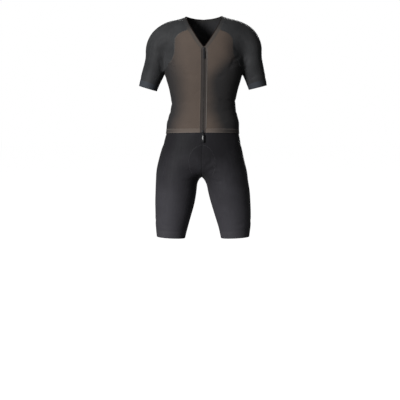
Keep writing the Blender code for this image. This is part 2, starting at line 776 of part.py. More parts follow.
def strip(name, inner_x, outer_x, ends, finish, thickness, lift, rows=22):
    """A strip of the zip between two distances from its middle, with its upper and lower ends by distance."""
    columns = []
    for x in (inner_x, outer_x):
        low, high = ends(abs(x))
        heights = np.linspace(low, high, rows + 1)
        columns.append(on_front(middle_x(heights) + x, heights))
    grid = np.stack(columns, axis=1)
    wall(name, grid, finish, lift=lift + zip_lift(grid[..., 2]), thickness=thickness)


def tape_ends(away):
    return HEM_FRONT, TAPE_TOP - TAPE_TOP_SLOPE * away


def chain_ends(_away):
    return CHAIN_BOTTOM, CHAIN_TOP


def rounded(width, low, high, corner):
    """The points of a rounded rectangle, anticlockwise."""
    points = []
    corners = ((1, low, -90), (1, high, 0), (-1, high, 90), (-1, low, 180))
    for side, edge, start in corners:
        x = side * (width / 2 - corner)
        y = edge + corner if edge == low else edge - corner
        for turn in np.radians(start + np.array([0, 30, 60, 90])):
            points.append((x + corner * math.cos(turn), y + corner * math.sin(turn)))
    return points


def plate_mesh(loops, low, high):
    """A flat outline, with a hole for each further loop, between two heights out from the cloth."""
    curve = bpy.data.curves.new("outline", "CURVE")
    curve.dimensions = "2D"
    curve.fill_mode = "BOTH"
    curve.extrude = (high - low) / 2
    for loop in loops:
        spline = curve.splines.new("POLY")
        spline.points.add(len(loop) - 1)
        for point, (x, y) in zip(spline.points, loop):
            point.co = (x, y, 0, 1)
        spline.use_cyclic_u = True
    guide = bpy.data.objects.new("outline", curve)
    bpy.context.scene.collection.objects.link(guide)
    bpy.context.view_layer.update()
    shape = guide.evaluated_get(bpy.context.evaluated_depsgraph_get())
    data = bpy.data.meshes.new_from_object(shape)
    bpy.data.objects.remove(guide, do_unlink=True)
    mesh = bmesh.new()
    mesh.from_mesh(data)
    bmesh.ops.remove_doubles(mesh, verts=mesh.verts, dist=0.00001)
    bmesh.ops.translate(mesh, verts=mesh.verts, vec=(0, 0, (high + low) / 2))
    return mesh


def bail_mesh(foot):
    """The arch that the pull hangs from, standing on the slider's front plate."""
    half, top = BAIL_LENGTH / 2, BAIL_HEIGHT - AXIS_ABOVE_PLATE
    # its shoulders are cut off at this size, and its inner face follows one strip further in
    shoulder = BAIL_STRIP
    outer = [(-half, foot), (-half, top - shoulder), (-half + shoulder, top)]
    inner = [
        (-half + BAIL_STRIP, foot),
        (-half + BAIL_STRIP * 0.9, top - shoulder - BAIL_STRIP * 0.6),
        (-half + shoulder + BAIL_STRIP * 0.9, top - BAIL_STRIP),
    ]
    arch = outer + [(-x, y) for x, y in outer[::-1]] + [(-x, y) for x, y in inner] + inner[::-1]
    mesh = bmesh.new()
    sides = []
    for x in (-BAIL_WIDTH / 2, BAIL_WIDTH / 2):
        sides.append([mesh.verts.new((x, along, out)) for along, out in arch])
    count = len(arch)
    for i in range(count):
        k = (i + 1) % count
        mesh.faces.new((sides[0][i], sides[0][k], sides[1][k], sides[1][i]))
    mesh.faces.new(sides[0][::-1])
    mesh.faces.new(sides[1])
    return mesh


def joined(obj, mesh, frame):
    """A Boolean union of the object with another closed shape in the same frame."""
    if mesh.calc_volume(signed=True) < 0:
        bmesh.ops.reverse_faces(mesh, faces=mesh.faces)
    data = bpy.data.meshes.new(obj.name + "_part")
    mesh.to_mesh(data)
    mesh.free()
    tool = bpy.data.objects.new(obj.name + "_part", data)
    bpy.data.collections[CUTTERS].objects.link(tool)
    tool.hide_render = True
    tool.display_type = "WIRE"
    tool.matrix_world = frame
    union = obj.modifiers.new(tool.name, "BOOLEAN")
    union.operation = "UNION"
    union.object = tool


def zip_frame(height):
    """The frame of a pull's axis: x across, y up along the zip and z out from the cloth."""
    heights = height + np.array([-SLIDER_LENGTH, 0, SLIDER_LENGTH]) / 2
    low, middle, high = on_front(middle_x(heights), heights)
    up = Vector((0, high[1] - low[1], high[2] - low[2])).normalized()
    out = Vector((1, 0, 0)).cross(up)
    above = CHAIN_FACE + SEAM_GAP + PLATE + AXIS_ABOVE_PLATE + float(zip_lift(height))
    turn = Matrix((Vector((1, 0, 0)), up, out)).transposed().to_4x4()
    return Matrix.Translation(Vector(middle) + out * above) @ turn


def slider(name, size):
    """A slider: a front plate with its bail, a back plate behind the tapes, and the post between them."""
    frame = zip_frame(size["height"])
    half = SLIDER_LENGTH / 2
    outline = rounded(SLIDER_WIDTH, -half, half, SLIDER_CORNER)
    front = -AXIS_ABOVE_PLATE
    back = front - PLATE - SLOT
    body = finished(f"zip_{name}_slider", plate_mesh([outline], front - PLATE, front), ZIP_METAL)
    body.matrix_world = frame
    overlap = PLATE / 2
    far = half - POST_INSET
    near = far - POST_LENGTH
    low, high = (near, far) if size["post"] > 0 else (-far, -near)
    post = rounded(POST_WIDTH, low, high, POST_CORNER)
    joined(body, plate_mesh([post], back - overlap, front - overlap), frame)
    joined(body, plate_mesh([outline], back - PLATE, back), frame)
    joined(body, bail_mesh(front - overlap), frame)


def pull(name, size):
    """A pull: a flat link whose bar runs under the bail, with its grip moulded on."""
    frame = zip_frame(size["height"])
    half = PULL_PLATE / 2
    link = rounded(PULL_SLOT_WIDTH + 2 * PULL_SIDE, -size["link"] - LINK_HELD, PULL_BAR, LINK_CORNER)
    hole = rounded(PULL_SLOT_WIDTH, -PULL_BAR - PULL_SLOT_LENGTH, -PULL_BAR, LINK_CORNER)
    tab = finished(f"zip_{name}_pull", plate_mesh([link, hole[::-1]], -half, half), PULL_RUBBER)
    tab.matrix_world = frame
    grip = rounded(size["width"], -size["length"], -size["link"], size["width"] * GRIP_CORNER)
    # the grip wraps the link, so it stands a little proud of its back
    joined(tab, plate_mesh([grip], -half * 1.2, size["grip"] - half), frame)


def zip_pieces():
    strip("zip_tape_right", -TAPE_OUTER, -TAPE_INNER, tape_ends, ZIP_TAPE, TAPE_WALL, TAPE_FACE)
    strip("zip_tape_left", TAPE_INNER, TAPE_OUTER, tape_ends, ZIP_TAPE, TAPE_WALL, TAPE_FACE)
    strip("zip_chain", -CHAIN_HALF, CHAIN_HALF, chain_ends, ZIP_COIL, CHAIN_WALL, CHAIN_FACE)
    for i, name in enumerate(ZIP_ENDS):
        size = {column: float(values[i]) for column, values in ZIP_SIZES.items()}
        slider(name, size)
        pull(name, size)


def main():
    for obj in list(bpy.data.objects):
        bpy.data.objects.remove(obj, do_unlink=True)
    for name in (COLLECTION, CUTTERS):
        bpy.context.scene.collection.children.link(bpy.data.collections.new(name))

    seams = {}
    for side in (-1, 1):
        inner, outer = neck_edges(side)
        beside = FRONT_STEPS + NECK_SIDE_STEPS
        front = raglan(side, outer[FRONT_STEPS], RAGLAN_FRONT)
        back = raglan(side, outer[beside], RAGLAN_BACK)
        back[-1] = front[-1]
        seams[side] = {
            "neck_inner": inner,
            "neck_outer": outer,
            "raglan_front": front,
            "raglan_back": back,
            "side": side_seam(side, front[-1]),
        }
    for side, word in ((-1, "right"), (1, "left")):
        front_piece(f"front_mesh_{word}", side, seams[side])
        sleeve_piece(side, word, seams[side])
        shorts_piece(side, word)
    back_piece(seams)
    neck_pieces(seams)
    zip_pieces()


main()
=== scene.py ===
import json
import math

import bmesh
import bpy
import numpy as np
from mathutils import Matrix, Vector
from mathutils.bvhtree import BVHTree


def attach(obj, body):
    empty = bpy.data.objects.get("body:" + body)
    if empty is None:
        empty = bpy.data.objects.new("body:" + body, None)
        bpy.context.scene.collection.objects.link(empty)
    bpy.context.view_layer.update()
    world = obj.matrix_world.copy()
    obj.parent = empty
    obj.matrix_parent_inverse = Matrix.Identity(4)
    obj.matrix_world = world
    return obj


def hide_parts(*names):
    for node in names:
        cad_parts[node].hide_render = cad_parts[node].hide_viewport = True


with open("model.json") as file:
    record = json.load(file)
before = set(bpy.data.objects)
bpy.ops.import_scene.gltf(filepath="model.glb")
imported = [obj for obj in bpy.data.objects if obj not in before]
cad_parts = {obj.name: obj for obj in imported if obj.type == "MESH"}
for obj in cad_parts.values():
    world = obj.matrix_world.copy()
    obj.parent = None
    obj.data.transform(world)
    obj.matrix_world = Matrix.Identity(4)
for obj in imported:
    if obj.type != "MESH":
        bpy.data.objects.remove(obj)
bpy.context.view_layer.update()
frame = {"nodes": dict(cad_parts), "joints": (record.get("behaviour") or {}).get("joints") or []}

# ---- the skin of the suit
# A triathlon suit is cut from stretch knits and sewn edge to edge with flatlock seams, so that worn it is
# one close, smooth skin. Its panels are joined here, rounded and creased as one surface, and each piece is
# cut from that afterwards along its own seams.
KNIT_WALL = 0.0016
TAPE_WALL = 0.0012
RIM_WITHIN = 1.034  # a face belongs to a wall's rim if it has an edge up to this many walls long
SAME_POINT = 0.000002
JERSEY = (
    "front_mesh_right", "front_mesh_left", "hem_band_right", "hem_band_left", "back_panel",
    "sleeve_right", "sleeve_left", "cuff_band_right", "cuff_band_left", "neck_band",
)
SHORTS = ("shorts_right", "shorts_left", "leg_band_right", "leg_band_left")
TAPES = ("zip_tape_right", "zip_tape_left")
PANELS = JERSEY + SHORTS + TAPES
SEWN_WITHIN = 0.00045  # seam edges lie 0.3 mm apart
FINE_LEVELS = 2
ROUNDING_KEPT = 0.67  # makes up for what subdivision takes off a curve


def outer_side(node, wall):
    """The outer side of a node's wall, with its triangles paired into quads."""
    mesh = bmesh.new()
    mesh.from_mesh(frame["nodes"][node].data)
    bmesh.ops.remove_doubles(mesh, verts=mesh.verts, dist=SAME_POINT)
    rim = [face for face in mesh.faces if min(edge.calc_length() for edge in face.edges) < wall * RIM_WITHIN]
    bmesh.ops.delete(mesh, geom=rim, context="FACES")
    sides = []
    unseen = set(mesh.faces)
    while unseen:
        side, stack = [], [unseen.pop()]
        while stack:
            face = stack.pop()
            side.append(face)
            for edge in face.edges:
                for other in edge.link_faces:
                    if other in unseen:
                        unseen.remove(other)
                        stack.append(other)
        sides.append(side)
    sides.sort(key=lambda side: -sum(face.calc_area() for face in side))
    for side in sides[1:]:
        bmesh.ops.delete(mesh, geom=side, context="FACES")
    bmesh.ops.join_triangles(
        mesh, faces=mesh.faces, angle_face_threshold=math.pi, angle_shape_threshold=math.pi
    )
    return mesh


skin = bmesh.new()
cut_layer = skin.faces.layers.int.new("cut")
for group, wall in ((JERSEY, KNIT_WALL), (SHORTS, KNIT_WALL), (TAPES[:1], TAPE_WALL), (TAPES[1:], TAPE_WALL)):
    sewn = []
    for node in group:
        panel = outer_side(node, wall)
        made = {vertex: skin.verts.new(vertex.co) for vertex in panel.verts}
        sewn += made.values()
        for face in panel.faces:
            skin.faces.new([made[vertex] for vertex in face.verts])[cut_layer] = PANELS.index(node)
        panel.free()
    bmesh.ops.remove_doubles(skin, verts=sewn, dist=SEWN_WITHIN)
skin.normal_update()
moves = {}
for vertex in skin.verts:
    if not vertex.is_boundary:
        beside = [edge.other_vert(vertex).co for edge in vertex.link_edges]
        mean = sum(beside, Vector()) / len(beside)
        moves[vertex] = vertex.normal * (vertex.co - mean).dot(vertex.normal) * ROUNDING_KEPT
for vertex, move in moves.items():
    vertex.co += move
skin_data = bpy.data.meshes.new("skin")
skin.to_mesh(skin_data)
skin.free()
skin_object = bpy.data.objects.new("skin", skin_data)
bpy.context.scene.collection.objects.link(skin_object)
finer = skin_object.modifiers.new("finer", "SUBSURF")
finer.levels = finer.render_levels = FINE_LEVELS
finer.boundary_smooth = "PRESERVE_CORNERS"
fine = bpy.data.meshes.new_from_object(skin_object.evaluated_get(bpy.context.evaluated_depsgraph_get()))
bpy.data.objects.remove(skin_object, do_unlink=True)


def mesh_array(collection, name, kind, width):
    """One value of each point, corner or face of a mesh, as an array with a row for each."""
    values = np.empty(len(collection) * width, kind)
    collection.foreach_get(name, values)
    return values.reshape(-1, width) if width > 1 else values


points = mesh_array(fine.vertices, "co", np.float32, 3).astype(float)
normals = mesh_array(fine.vertices, "normal", np.float32, 3).astype(float)
quads = mesh_array(fine.loops, "vertex_index", np.int32, 1).reshape(-1, 4)
cuts = mesh_array(fine.attributes["cut"].data, "value", np.int32, 1)

# ---- creases and raised lines
# A close knit creases only where a limb bends away from it: at the armpits, the waist, the crotch and
# behind the thighs. The pad inside the shorts shows as a soft stitched outline round the crotch.
VIEWS = {"front": (0, (0, -1, 0)), "back": (0, (0, 1, 0)), "right": (1, (-1, 0, 0)), "left": (1, (1, 0, 0))}
SIDE_FROM = 0.05  # side creases lie further out than this


def folds_of(*rows):
    """Folds from rows of millimetres: where each starts and ends across the view and in height, how far it
    bows, its width and its depth."""
    names = ("a0", "z0", "a1", "z1", "bow", "width", "depth")
    return [dict(zip(names, (value / 1000 for value in row))) for row in rows]


FOLDS = {
    "front": folds_of(
        # from the armpits over the chest and down the sleeves
        (-158, -168, -118, -196, 6, 7.5, -2.8),
        (-160, -190, -108, -226, 9, 9, -2.2),
        (-152, -150, -128, -120, -4, 7, -1.6),
        (-176, -150, -166, -214, 5, 8, -3),
        (-190, -158, -178, -226, 4, 8.5, -1.6),
        (154, -160, 110, -192, -7, 8, -3),
        (156, -186, 98, -214, -10, 10, -2.6),
        (150, -142, 124, -112, 4, 6.5, -1.4),
        (170, -146, 163, -212, -4, 8, -2.8),
        (186, -160, 176, -218, -5, 9, -1.8),
        # over the sleeves
        (-226, -236, -192, -246, -4, 7, -1),
        (190, -250, 224, -238, 3, 8, -1.1),
        (-186, -104, -150, -88, 6, 10, -1.2),
        (176, -100, 138, -80, -6, 11, -1.2),
        # across the chest and the waist
        (-88, -236, -22, -248, 6, 11, -1.2),
        (26, -246, 92, -232, -6, 10, -1.3),
        (-128, -352, -66, -340, -5, 9, -1.3),
        (-124, -384, -82, -392, 3, 8, -1),
        (124, -344, 58, -330, 6, 10, -1.5),
        (122, -376, 74, -388, -4, 8, -1.2),
        (100, -418, 30, -430, 4, 9, -1.1),
        (-104, -424, -36, -434, -4, 8.5, -0.9),
        # beside the zip, which holds the knit a little short
        (-14, -300, -44, -312, 2, 6.5, -0.8),
        (16, -352, 50, -362, -2, 7, -0.9),
        # from the crotch over the thighs and up beside the centre seam
        (-14, -620, -50, -592, -5, 7, -1.6),
        (-20, -642, -74, -626, -6, 8.5, -1.8),
        (-34, -664, -92, -668, 4, 9, -1.2),
        (2, -622, 40, -590, 5, 7, -1.7),
        (10, -640, 64, -618, 6, 8, -2),
        (28, -664, 82, -672, -5, 8.5, -1.4),
        (22, -612, 30, -574, -3, 6, -1.2),
        (-30, -604, -34, -576, 3, 5.5, -1),
        # over the hips and above the leg bands
        (-156, -520, -112, -506, 5, 9, -1),
        (138, -512, 92, -500, -5, 9, -1.1),
        (-180, -850, -128, -862, -4, 9, -1),
        (122, -858, 172, -846, -4, 8.5, -1),
    ),
    "back": folds_of(
        (-156, -172, -108, -206, 7, 9, -2.6),
        (-160, -148, -118, -126, -5, 8, -1.8),
        (158, -166, 104, -196, -7, 8.5, -2.8),
        (162, -192, 112, -232, -6, 9.5, -1.8),
        (-182, -160, -170, -222, 4, 8, -2.2),
        (178, -156, 168, -216, -4, 8, -2.4),
        (-228, -222, -190, -240, 4, 8, -1.4),
        (190, -236, 222, -218, 4, 8, -1.3),
        # the small of the back, where the knit gathers over the waist seam
        (-108, -352, -18, -372, -8, 10, -2.6),
        (104, -344, 12, -364, 9, 10.5, -2.4),
        (-86, -396, 30, -404, -6, 9.5, -2.8),
        (96, -386, 20, -392, 5, 9, -1.9),
        (-60, -430, 66, -424, -5, 8.5, -2),
        (-112, -432, -66, -448, 4, 8, -1.3),
        (112, -424, 82, -446, -4, 7.5, -1.2),
        # down from the neck between the shoulder blades
        (-52, -70, -20, -150, 6, 13, -1.4),
        (48, -66, 24, -138, -5, 12, -1.2),
        # under the seat and behind the thighs
        (-134, -664, -34, -684, -10, 9.5, -3),
        (126, -660, 30, -688, 11, 10, -3.2),
        (-118, -700, -52, -706, -5, 8, -1.6),
        (112, -698, 58, -712, 5, 8, -1.4),
        (-14, -632, -48, -612, -4, 7, -1.6),
        (4, -636, 42, -610, 5, 7, -1.8),
        (-172, -838, -100, -850, -6, 9, -2.2),
        (96, -846, 168, -832, -6, 9.5, -2.1),
        (-166, -866, -124, -874, 4, 7.5, -1.2),
        (112, -872, 150, -862, -4, 8, -1.3),
    ),
    "right": folds_of(
        (-50, -350, 36, -362, 5, 9, -2.2),
        (-36, -384, 50, -378, -5, 8.5, -1.8),
        (-46, -416, 14, -424, 3, 7.5, -1.1),
        (-30, -240, 26, -254, 3, 7, -0.9),
        (-52, -520, 44, -532, 6, 11, -1.2),
        (-36, -848, 42, -840, 4, 8.5, -1.2),
    ),
    "left": folds_of(
        (-44, -340, 44, -354, 6, 9.5, -2.4),
        (-52, -374, 30, -384, -4, 8, -1.6),
        (-20, -408, 46, -414, 3, 8, -1.3),
        (-26, -232, 30, -244, -3, 7.5, -1),
        (-48, -508, 50, -524, -6, 11, -1.3),
        (-40, -842, 38, -852, 4, 9, -1.3),
    ),
}
PAD_EDGE = folds_of(
    (-4, -526, -62, -572, -7, 3.2, 1),
    (-56, -556, -66, -634, -6, 3.2, 1),
    (-4, -526, 42, -580, 8, 3.2, 0.9),
    (38, -566, 46, -644, 6, 3.4, 1),
    (12, -648, 42, -726, 4, 3, 0.7),
)
END_FADE = 0.3  # of a fold's length, over which each end runs out
SHOULDER = 0.7  # how strongly the cloth rises again beside a trough
FADE_OUT = 2  # how fast a fold fades where the skin turns away from its view
FADE_AT = 0.1  # and how far it still shows where the skin lies along the view
# the slight unevenness that any knit has over a body: three long waves, with their directions and starts
UNEVEN = 0.00045
SWELLS = ((71, 38, 52, 0.4), (-33, 64, -47, 1.9), (22, -29, 83, 0))
CENTRE_SEAM_SUNK = 0.0007  # the shorts' centre seam is pulled in between the two halves of the pad


def step(amount):
    """0 to 1 with level ends."""
    t = np.clip(amount, 0, 1)
    return t * t * (3 - 2 * t)


def fold_depth(view, fold, shoulder=SHOULDER):
    """How far one fold moves each point of the skin: a bowed line with a soft profile, and its ends faded."""
    across, facing = VIEWS[view]
    start = np.array([fold["a0"], fold["z0"]])
    chord = np.array([fold["a1"], fold["z1"]]) - start
    length = np.linalg.norm(chord)
    away = points[:, [across, 2]] - start
    along = away @ chord / length**2
    aside = away @ np.array([-chord[1], chord[0]]) / length
    aside -= fold["bow"] * 4 * along * (1 - along)
    shape = np.exp(-((aside / fold["width"]) ** 2))
    shape *= 1 - shoulder * (aside / fold["width"]) ** 2
    ends = step(along / END_FADE) * step((1 - along) / END_FADE)
    seen = step((normals @ facing) * FADE_OUT + FADE_AT)
    if across == 1:
        seen = seen * (points[:, 0] * facing[0] > SIDE_FROM)
    return fold["depth"] * shape * ends * seen


depth = np.zeros(len(points))
for view, folds in FOLDS.items():
    for fold in folds:
        depth += fold_depth(view, fold)
for fold in PAD_EDGE:
    depth += fold_depth("front", fold, shoulder=0)
depth += UNEVEN / 3 * sum(np.sin(points @ way + start) for *way, start in SWELLS)
depth[quads[np.isin(cuts, [PANELS.index(node) for node in TAPES])]] = 0
right_leg, left_leg = (np.unique(quads[cuts == PANELS.index(f"shorts_{side}")]) for side in ("right", "left"))
depth[np.intersect1d(right_leg, left_leg)] -= CENTRE_SEAM_SUNK
points += normals * depth[:, None]

# ---- the mesh fronts
# Two fronts of a fine, open warp-knitted mesh in warm taupe, which meet at the zip. Each is sewn to its
# sleeve's raglan seam, to the back at the side seam and to a soft tape at the hem, and its front edge is
# folded back along the zip.
CLOTH_WALL = 0.0014
MESH_TAUPE = (0.071, 0.055, 0.0455)
# the grey that the mesh turns to towards its sides, which is partly painted shade
MESH_SIDE_GREY_AND_SHADE = (0.0215, 0.0208, 0.0212)
MESH_PITCH = 0.0016
FRONT_EDGE_LIFT = 0.0008  # the fronts lie over the zip's tapes, so their edges are raised there
ZIP_SIDE = 0.020  # those edges lie within this of the middle, and below the zip's top
ZIP_TOP = -0.13
# how far out from the zip the mesh starts and ends to turn grey, and how much nearer that is at the waist and
# at the hem. The grey towards the sides is partly painted shade, and on the left front, away from the key
# light, it comes much nearer the zip under the chest and above the hem: painted shade there.
MESH_GREY_AND_SHADE_SPREAD = {"right": (0.076, 0.180, 0.034, 0.004), "left": (0.064, 0.168, 0.096, 0.054)}
UNDER_CHEST = (-0.135, -0.270)
ABOVE_HEM = (-0.360, -0.455)
MOTTLE = {"Scale": 8.0, "Detail": 4.0, "Roughness": 0.6}
MOTTLE_MIDDLE = 0.5
MOTTLE_STOPS = (0.35, 0.65)
MOTTLE_OF_SPREAD = 0.55
MOTTLE_OF_DARKER_ABOVE = 0.8
COURSE_TO_WALE = 1.2
HOLE_STOPS = (0.1, 0.9)
# long faint streaks along a limb, lighter and darker in the knit's colour: painted sheen
SHEEN_STREAK_SCALE = (260.0, 260.0, 14.0)
KNIT_RELIEF = 0.00004
KNIT_SHEEN = 0.02
KNIT_SHEEN_ROUGHNESS = 0.45
KNIT_GLOSS = 0.03
SMOOTH_UNDER = 50  # degrees between faces, over which an edge of a piece is sharp
BODY_AXIS = (0.0, 0.0, 0.0)  # x, y and the tilt in degrees of the line that the knit runs round
BODY_ROUND = 0.86  # the length round the body that the wales share


def add_node(tree, kind, inputs, **settings):
    """A shader node with its settings made, and each input given a value or linked to a socket."""
    made = tree.nodes.new("ShaderNode" + kind)
    for name, value in settings.items():
        setattr(made, name, value)
    for socket, value in inputs.items():
        if isinstance(value, bpy.types.NodeSocket):
            tree.links.new(value, made.inputs[socket])
        else:
            made.inputs[socket].default_value = value
    return made


def new_finish(name):
    """A new material with its node tree and its shader."""
    material = bpy.data.materials.new(name)
    material.use_nodes = True
    return material, material.node_tree, material.node_tree.nodes["Principled BSDF"]


def set_bump(tree, shader, height, distance):
    """A fine relief in a finish, too small to be part of the mesh."""
    bump = add_node(tree, "Bump", {"Height": height, "Distance": distance})
    tree.links.new(bump.outputs[0], shader.inputs["Normal"])


def two_tones(tree, blend, stops, colours):
    """The first colour, which turns to the second as the blend passes between two stops."""
    ramp = add_node(tree, "ValToRGB", {"Fac": blend})
    for element, stop, colour in zip(ramp.color_ramp.elements, stops, colours):
        element.position = stop
        element.color = (*colour, 1)
    return ramp.outputs["Color"]


def knit(
    name, colours, axis, girth, pitch, roughness, relief=KNIT_RELIEF, sheen_streaks=0.0, holes=0.0,
    spread=None, darker_above=None,
):
    """A knit with its wales along an axis and its courses across it, mottled between two colours. With a
    girth the wales go round the axis, and at 0 they follow the two sides of a bent limb. An open mesh has
    dark holes, and its spread says where it turns from the first colour to the second. Between two given
    heights a knit can turn from its first colour below to its second, darker one above: on the shorts that
    is painted shade, growing up towards the jersey's hem."""
    material, tree, shader = new_finish(name)
    coordinates = add_node(tree, "TexCoord", {})
    place = coordinates.outputs["Object"]
    x, y, tilt = axis
    turn = (0, math.radians(tilt), 0)
    turned = add_node(tree, "Mapping", {"Vector": place, "Location": (-x, -y, 0), "Rotation": turn})
    facing = add_node(tree, "Mapping", {"Vector": coordinates.outputs["Normal"], "Rotation": turn})
    at = add_node(tree, "SeparateXYZ", {0: turned.outputs[0]}).outputs
    out = add_node(tree, "SeparateXYZ", {0: facing.outputs[0]}).outputs

    def maths(operation, *values):
        return add_node(tree, "Math", dict(enumerate(values)), operation=operation).outputs[0]

    def ranged(value, limits, most=1.0):
        """0 to most, with level ends, as a value passes between two limits."""
        inputs = {"Value": value, "From Min": limits[0], "From Max": limits[1], "To Max": most}
        return add_node(tree, "MapRange", inputs, interpolation_type="SMOOTHSTEP").outputs[0]

    def waves(value, turns):
        return maths("SINE", maths("MULTIPLY", value, turns))

    turns = math.tau / pitch
    if girth:
        wales = waves(maths("ARCTAN2", at["Y"], at["X"]), round(girth / pitch))
    else:
        front = maths("MULTIPLY", out["Y"], out["Y"])
        side = maths("SUBTRACT", 1.0, front)
        on_side = maths("MULTIPLY", waves(at["Y"], turns), side)
        wales = maths("MULTIPLY_ADD", waves(at["X"], turns), front, on_side)
    level = maths("MULTIPLY_ADD", maths("MULTIPLY", out["Z"], out["Z"]), -1.0, 1.0)
    courses = maths("MULTIPLY", waves(at["Z"], turns / COURSE_TO_WALE), level)
    loops = maths("MULTIPLY" if holes else "ADD", wales, courses)
    set_bump(tree, shader, loops, relief)
    blend = add_node(tree, "TexNoise", {"Vector": place, **MOTTLE}).outputs["Fac"]
    # faint streaks along the limb: painted sheen
    if sheen_streaks:
        drawn = add_node(tree, "Mapping", {"Vector": turned.outputs[0], "Scale": SHEEN_STREAK_SCALE})
        long_noise = {"Vector": drawn.outputs[0], "Scale": 1.0, "Detail": 3.0}
        sheen_streak = add_node(tree, "TexNoise", long_noise).outputs["Fac"]
        blend = maths("MULTIPLY_ADD", maths("SUBTRACT", sheen_streak, MOTTLE_MIDDLE), sheen_streaks, blend)
    if spread:
        near, far, at_waist, at_hem = spread
        away = maths("ABSOLUTE", at["X"])
        for heights, nearer in ((UNDER_CHEST, at_waist), (ABOVE_HEM, at_hem - at_waist)):
            away = maths("ADD", away, ranged(at["Z"], heights, nearer))
        mottle = maths("SUBTRACT", blend, MOTTLE_STOPS[0])
        blend = maths("MULTIPLY_ADD", mottle, MOTTLE_OF_SPREAD, ranged(away, (near, far)))
    if darker_above:
        mottle = maths("SUBTRACT", blend, MOTTLE_MIDDLE)
        blend = maths("MULTIPLY_ADD", mottle, MOTTLE_OF_DARKER_ABOVE, ranged(at["Z"], darker_above))
    colour = two_tones(tree, blend, (0.0, 1.0) if spread or darker_above else MOTTLE_STOPS, colours)
    if holes:
        first, last = HOLE_STOPS
        inputs = {"Value": loops, "From Min": first, "From Max": last, "To Min": 1.0, "To Max": 1 - holes}
        dimmed = add_node(tree, "MapRange", inputs).outputs[0]
        inputs = {0: colour, "Scale": dimmed}
        colour = add_node(tree, "VectorMath", inputs, operation="SCALE").outputs[0]
    tree.links.new(colour, shader.inputs["Base Color"])
    shader.inputs["Roughness"].default_value = roughness
    shader.inputs["Sheen Weight"].default_value = KNIT_SHEEN
    shader.inputs["Sheen Roughness"].default_value = KNIT_SHEEN_ROUGHNESS
    shader.inputs["Specular IOR Level"].default_value = KNIT_GLOSS
    return material


def piece_of(data, material, body="suit", sharp=SMOOTH_UNDER):
    """A mesh as a smooth-shaded object of the same name that rides on a body of the frame."""
    data.materials.append(material)
    data.shade_smooth()
    data.set_sharp_from_angle(angle=math.radians(sharp))
    piece = bpy.data.objects.new(data.name, data)
    bpy.context.scene.collection.objects.link(piece)
    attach(piece, body)
    return piece


def new_piece(name, vertices, faces, material, body="suit", sharp=SMOOTH_UNDER):
    """A piece made of its own points and faces."""
    data = bpy.data.meshes.new(name)
    data.from_pydata(vertices, [], faces)
    return piece_of(data, material, body, sharp)


def edges_of(faces):
    """The four edges of each face, in the direction in which the face runs."""
    return np.concatenate([faces[:, [i, (i + 1) % 4]] for i in range(4)])


def cut_from_skin(name, node, material, edge_lift=0.0):
    """One cut piece of the skin with its wall. edge_lift raises the edge that lies along the zip."""
    faces = quads[cuts == PANELS.index(node)]
    used, faces = np.unique(faces, return_inverse=True)
    faces = faces.reshape(-1, 4)
    outer, out = points[used].copy(), normals[used]
    edges = edges_of(faces)
    _, first, counts = np.unique(np.sort(edges, axis=1), axis=0, return_index=True, return_counts=True)
    rim = edges[first[counts == 1]]
    on_rim = np.zeros(len(outer), bool)
    on_rim[rim] = True
    if edge_lift:
        at_zip = on_rim & (np.abs(outer[:, 0]) < ZIP_SIDE) & (outer[:, 2] < ZIP_TOP)
        outer[at_zip] += out[at_zip] * edge_lift
    inner = outer - out * CLOTH_WALL
    count = len(outer)
    walls = np.stack([rim[:, 1], rim[:, 0], rim[:, 0] + count, rim[:, 1] + count], axis=1)
    faces = np.vstack([faces, faces[:, ::-1] + count, walls])
    piece = new_piece(name, np.vstack([outer, inner]), faces.tolist(), material)
    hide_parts(node)


for side, spread in MESH_GREY_AND_SHADE_SPREAD.items():
    mesh_knit = knit(
        f"taupe_mesh_{side}", (MESH_TAUPE, MESH_SIDE_GREY_AND_SHADE), BODY_AXIS, BODY_ROUND, MESH_PITCH,
        roughness=0.70, relief=0.00006, holes=0.35, spread=spread,
    )
    cut_from_skin(
        f"front_{side}", f"front_mesh_{side}", mesh_knit,
        edge_lift=FRONT_EDGE_LIFT,
    )

# ---- the hem tapes
# The jersey's front ends in a soft tape of the same knit, folded double and lighter than the mesh. It hangs
# free over the shorts from one side seam to the other, and is sewn down only beside them.
# the tape's second, grey colour, reached as on the mesh towards the sides and soonest on the left front, is
# painted shade
HEM_TAUPE_AND_SHADE = ((0.085, 0.069, 0.059), (0.032, 0.029, 0.028))
HEM_PITCH = 0.0012
for side, spread in MESH_GREY_AND_SHADE_SPREAD.items():
    hem_knit = knit(
        f"hem_knit_{side}", HEM_TAUPE_AND_SHADE, BODY_AXIS, BODY_ROUND, HEM_PITCH, roughness=0.65, spread=spread
    )
    cut_from_skin(f"hem_{side}", f"hem_band_{side}", hem_knit)

# ---- the back
# The back is one piece of a denser stretch knit, from the neck band down to the waist seam that joins it
# to the shorts. It creases across the small of the back.
BACK_GREYS = ((0.032, 0.032, 0.034), (0.025, 0.025, 0.027))
BACK_PITCH = 0.0011
DENSE_RELIEF = 0.00003
back_knit = knit(
    "back_knit", BACK_GREYS, BODY_AXIS, BODY_ROUND, BACK_PITCH, roughness=0.60, relief=DENSE_RELIEF
)
cut_from_skin("back", "back_panel", back_knit)

# ---- the raglan sleeves
# Each sleeve takes in its shoulder and runs up to the neck band. It is a finely ribbed aerodynamic knit with
# a soft sheen, whose ribs run down the arm, and faint lighter streaks of painted sheen run down it in its
# colour.
SLEEVE_PITCH = 0.0026
SLEEVE_GREYS = ((0.0285, 0.0290, 0.0301), (0.0185, 0.0189, 0.0198))
